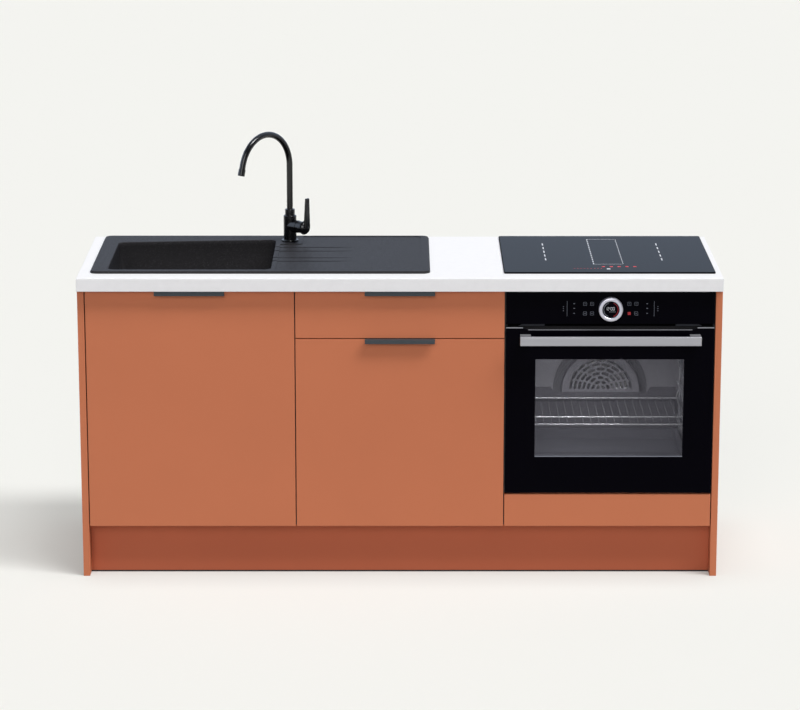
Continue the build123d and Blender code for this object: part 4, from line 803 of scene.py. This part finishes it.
def rounded_loop(u, v, radius, steps=10):
    """Points round a rectangle: each corner is a quarter circle, and straight runs join them."""
    quarter = np.linspace(0, np.pi / 2, steps)
    corners = [(u[1] - radius, v[1] - radius), (u[0] + radius, v[1] - radius),
               (u[0] + radius, v[0] + radius), (u[1] - radius, v[0] + radius)]
    angles = quarter[None] + np.arange(4)[:, None] * np.pi / 2
    arcs = np.stack([np.cos(angles), np.sin(angles)], 2) * radius
    return (np.array(corners)[:, None] + arcs).reshape(-1, 2)


print("a rounded loop has", len(rounded_loop((0, 1), (0, 1), 0.1)), "points")

# %% [markdown]
# Seals. A soft bead runs round the oven mouth, and a thin dark bead of sealant closes the joint where the
# sink's rim and the hob's glass lie on the worktop. Those two beads are partly painted shade: their dark line
# also stands for the shade under the rim and at the glass's edge. Each is an oval carried round a rectangle
# with round corners. A flat dark strip seals the plinth's foot, and is partly painted shade for the contact
# shadow there.

# %% Seals
SEAL_WIDTH, SEAL_INSET, SEAL_CORNER = 0.011, 0.0005, 0.02
BEAD_SET = 0.0002                       # how deep a bead or strip sits in what it lies on
RIM_CORNER, RIM_BEAD = 0.020, (0.0036, 0.0036)
HOB_CORNER, HOB_BEAD = 0.005, (0.0030, 0.0044)
FOOT_STRIP = (0.0042, 0.0008)           # height and thickness of the strip along the plinth's foot
worktop_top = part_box("worktop")[1][2]


def rim_bead(name, node, corner, size, material):
    """Bead round a solid's outline on the worktop: an oval carried round the solid's box, seen from above."""
    low, high = corners_of(node)
    loop = rounded_loop((low[0], high[0]), (low[1], high[1]), corner)
    loop = np.insert(loop, 2, worktop_top + size[1] / 2 - BEAD_SET, axis=1)
    finish_piece(sweep(name, loop, oval(*size), (0, 0, 1), True), "cabinet", material)


gasket_low, gasket_high = corners_of("oven_gasket")
half_seal = SEAL_WIDTH / 2 + SEAL_INSET
mouth = rounded_loop((gasket_low[0] + half_seal, gasket_high[0] - half_seal),
                     (gasket_low[2] + half_seal, gasket_high[2] - half_seal), SEAL_CORNER)
mouth = np.insert(mouth, 1, (gasket_low[1] + gasket_high[1]) / 2, axis=1)
seal = sweep("oven_mouth_seal", mouth, oval(SEAL_WIDTH, gasket_high[1] - gasket_low[1]), (0, 1, 0), True)
finish_piece(seal, "cabinet", finishes["seal_rubber"], ["oven_gasket"])

# Partly painted shade: this dark bead also stands for the shade under the sink's rim.
rim_bead("sink_sealant_and_shade", "sink", RIM_CORNER, RIM_BEAD, finishes["seal_rubber"])

# Partly painted shade: the dark foot strip also stands for the contact shadow under the plinth.
plinth_low, plinth_high = corners_of("plinth")
strip = bar_along_x("plinth_foot_strip_and_shade", [plinth_low[0], plinth_high[0]], plinth_low[2],
                    plinth_low[2] + FOOT_STRIP[0], (plinth_low[1] - FOOT_STRIP[1], plinth_low[1] + BEAD_SET))
finish_piece(strip, "cabinet", finishes["seal_rubber"])

# Partly painted shade: this near-black bead also stands for the dark line at the hob glass's edge.
rim_bead("hob_sealant_and_shade", "hob_glass", HOB_CORNER, HOB_BEAD, painted_shade_black)

# %% [markdown]
# The back of the oven. A thin dark arch frames the fan's grille: it is painted shade, for the shadow round
# the cover's rim. A plate with a lowered middle stands in front of the grille's lower half. Both are thin
# sheet, so one is a flat profile carried along a bow and the other a bar whose top edge changes from station
# to station.

# %% Oven back
ARCH_RADIUS, ARCH_WIDTH, ARCH_SHEET, ARCH_LEG = 0.1285, 0.024, 0.0008, 0.035
ARCH_SET = 0.0023                       # before the back of the fan's cover
PLATE_X = np.array([-0.225, -0.150, -0.139, 0.139, 0.150, 0.225])       # stations, from the fan's middle
PLATE_HIGH = np.array([0.010, 0.010, -0.006, -0.006, 0.010, 0.010])     # its top edge at those stations
PLATE_LOW = -0.145
PLATE_DEPTH = (-0.0022, -0.0012)        # from the front of the fan's cover


def oblong(width, height):
    """Rectangle profile, centred: half the width and half the height to each side."""
    return np.array([(-1, -1), (1, -1), (1, 1), (-1, 1)]) * np.array([width, height]) / 2


fan_low, fan_high = corners_of("oven_fan_cover")
fan_middle = (fan_low + fan_high) / 2
bow = np.radians(np.linspace(180, 0, 49))
arch_x = np.concatenate([[-ARCH_RADIUS], ARCH_RADIUS * np.cos(bow), [ARCH_RADIUS]])
arch_z = np.concatenate([[-ARCH_LEG], ARCH_RADIUS * np.sin(bow), [-ARCH_LEG]])
arch_y = np.full(len(arch_x), fan_high[1] - ARCH_SET)
arch_path = np.stack([fan_middle[0] + arch_x, arch_y, fan_middle[2] + arch_z], 1)
# Painted shade: a dark sheet on the cover's rim, for the shadow round the fan's cover.
arch = sweep("oven_fan_shade_arch", arch_path, oblong(ARCH_WIDTH, ARCH_SHEET), (0, 1, 0), smooth=False)
finish_piece(arch, "cabinet", arch_shade_enamel)

plate = bar_along_x("oven_back_plate", fan_middle[0] + PLATE_X, fan_middle[2] + PLATE_LOW,
                    fan_middle[2] + PLATE_HIGH, (fan_low[1] + PLATE_DEPTH[0], fan_low[1] + PLATE_DEPTH[1]))
finish_piece(plate, "cabinet", plate_enamel)

# %% [markdown]
# A bent wire holds each shelf rack to the wall. It is a quarter turn, seen from the front, with a round
# section: few points are enough, because the faces are shaded smooth.

# %% Rack hooks
HOOK_OUT, HOOK_UP, HOOK_WIRE = 0.011, 0.028, 0.0032
HOOK_GAP = 0.0016                       # from the rack's outside
HOOK_BEHIND = 0.004                     # behind the shelf
hook_wire = coated("hook wire", srgb(246, 247, 250), 0.2, 0.03, 40.0, 300.0, 0.00001, 0.1)
rack_low, rack_high = corners_of("oven_shelf_racks")
hook_turn = np.linspace(0, np.pi / 2, 12)
hook_y = np.full(len(hook_turn), shelf_high[1] + HOOK_BEHIND)
hook_z = shelf_low[2] + HOOK_UP * np.sin(hook_turn)
for name, side, wall in (("left", -1, rack_low[0]), ("right", 1, rack_high[0])):
    hook_x = wall - side * (HOOK_OUT * np.cos(hook_turn) + HOOK_GAP)
    hook_path = np.stack([hook_x, hook_y, hook_z], 1)
    hook = sweep(f"oven_rack_hook_{name}", hook_path, oval(HOOK_WIRE, HOOK_WIRE, 8), (0, 1, 0))
    finish_piece(hook, "cabinet", hook_wire)

# %% [markdown]
# Ovens have a lamp. A bulb of glowing mesh would render with more grain, so this one is an area light: a slim
# strip under the cavity's roof, near the front and left of the middle, out of sight. It faces back and down.

# %% Oven lamp
LAMP_WATTS = 1.5
LAMP_SIZE = (0.24, 0.03)
LAMP_LEFT, LAMP_BEHIND, LAMP_Z = 0.07, 0.04, 0.653      # from the oven's middle, from its mouth, and height
LAMP_BACK = (0, -0.75, 0.65)            # the way that its back faces
lamp = bpy.data.lights.new("oven_lamp", "AREA")
lamp.shape = "RECTANGLE"
lamp.size, lamp.size_y = LAMP_SIZE
lamp.energy = LAMP_WATTS
lamp_stand = bpy.data.objects.new("oven_lamp", lamp)
lamp_stand.location = (OVEN_X - LAMP_LEFT, MOUTH_Y + LAMP_BEHIND, LAMP_Z)
lamp_stand.rotation_euler = Vector(LAMP_BACK).to_track_quat("Z", "Y").to_euler()
scene.collection.objects.link(lamp_stand)
print("oven lamp", LAMP_WATTS, "W")

# %% [markdown]
# The floor is a plain pale sheet, large enough to fill the picture. Seen directly, or in a shiny or clear
# surface, it is part steady glow and part lit surface, so that it stays pale and takes a soft shadow.
# The glow dims close to the object, as skylight does. The light that the floor throws back up is that of a
# greyer sheet, which keeps the plinth and the low edges dim.

# %% Floor
FLOOR_WIDE = 80.0
FLOOR_ROWS = 9
FLOOR_GLOW = 0.46
FLOOR_ROUGHNESS = 0.9
FLOOR_COLOUR = srgb(240, 240, 236)
FLOOR_BOUNCE = srgb(158, 160, 162)
SHELTER_REACH = 0.20                    # metres from the object within which the glow dims
SHELTER_SHARE = 0.55                    # the most that it dims
floor_material, floor_tree, floor_shader = new_material("pale floor")
floor_shader.inputs["Roughness"].default_value = FLOOR_ROUGHNESS
floor_shader.inputs["Specular IOR Level"].default_value = 0.0
glow = add_node(floor_tree, "ShaderNodeEmission", Color=FLOOR_COLOUR)
shelter = add_node(floor_tree, "ShaderNodeAmbientOcclusion", Distance=SHELTER_REACH)
sheltered = stretch_range(floor_tree, shelter.outputs["AO"], 0.0, 1.0, 1.0 - SHELTER_SHARE, 1.0)
floor_tree.links.new(sheltered, glow.inputs["Strength"])
path = floor_tree.nodes.new("ShaderNodeLightPath")
seen = path.outputs["Is Camera Ray"]
for kind in ("Is Glossy Ray", "Is Transmission Ray"):
    seen = link_math(floor_tree, "MAXIMUM", seen, path.outputs[kind])
blend = floor_tree.nodes.new("ShaderNodeMixShader")
floor_tree.links.new(link_math(floor_tree, "MULTIPLY", seen, FLOOR_GLOW), blend.inputs["Fac"])
sheet = ramp(floor_tree, seen, FLOOR_BOUNCE, FLOOR_COLOUR, 0.0, 1.0)
floor_tree.links.new(sheet, floor_shader.inputs["Base Color"])
floor_tree.links.new(floor_shader.outputs["BSDF"], blend.inputs[1])
floor_tree.links.new(glow.outputs["Emission"], blend.inputs[2])
floor_tree.links.new(blend.outputs["Shader"], floor_tree.nodes["Material Output"].inputs["Surface"])

reach = np.linspace(-FLOOR_WIDE / 2, FLOOR_WIDE / 2, FLOOR_ROWS)
floor_xy = np.stack(np.meshgrid(reach, reach, indexing="ij"), 2)
floor_points = np.concatenate([floor_xy, np.zeros(floor_xy.shape[:2] + (1,))], 2)
floor = make_piece("floor", floor_points, grid_faces(FLOOR_ROWS, FLOOR_ROWS)[:, ::-1])
floor.data.materials.append(floor_material)
print("floor", FLOOR_WIDE, "m wide")
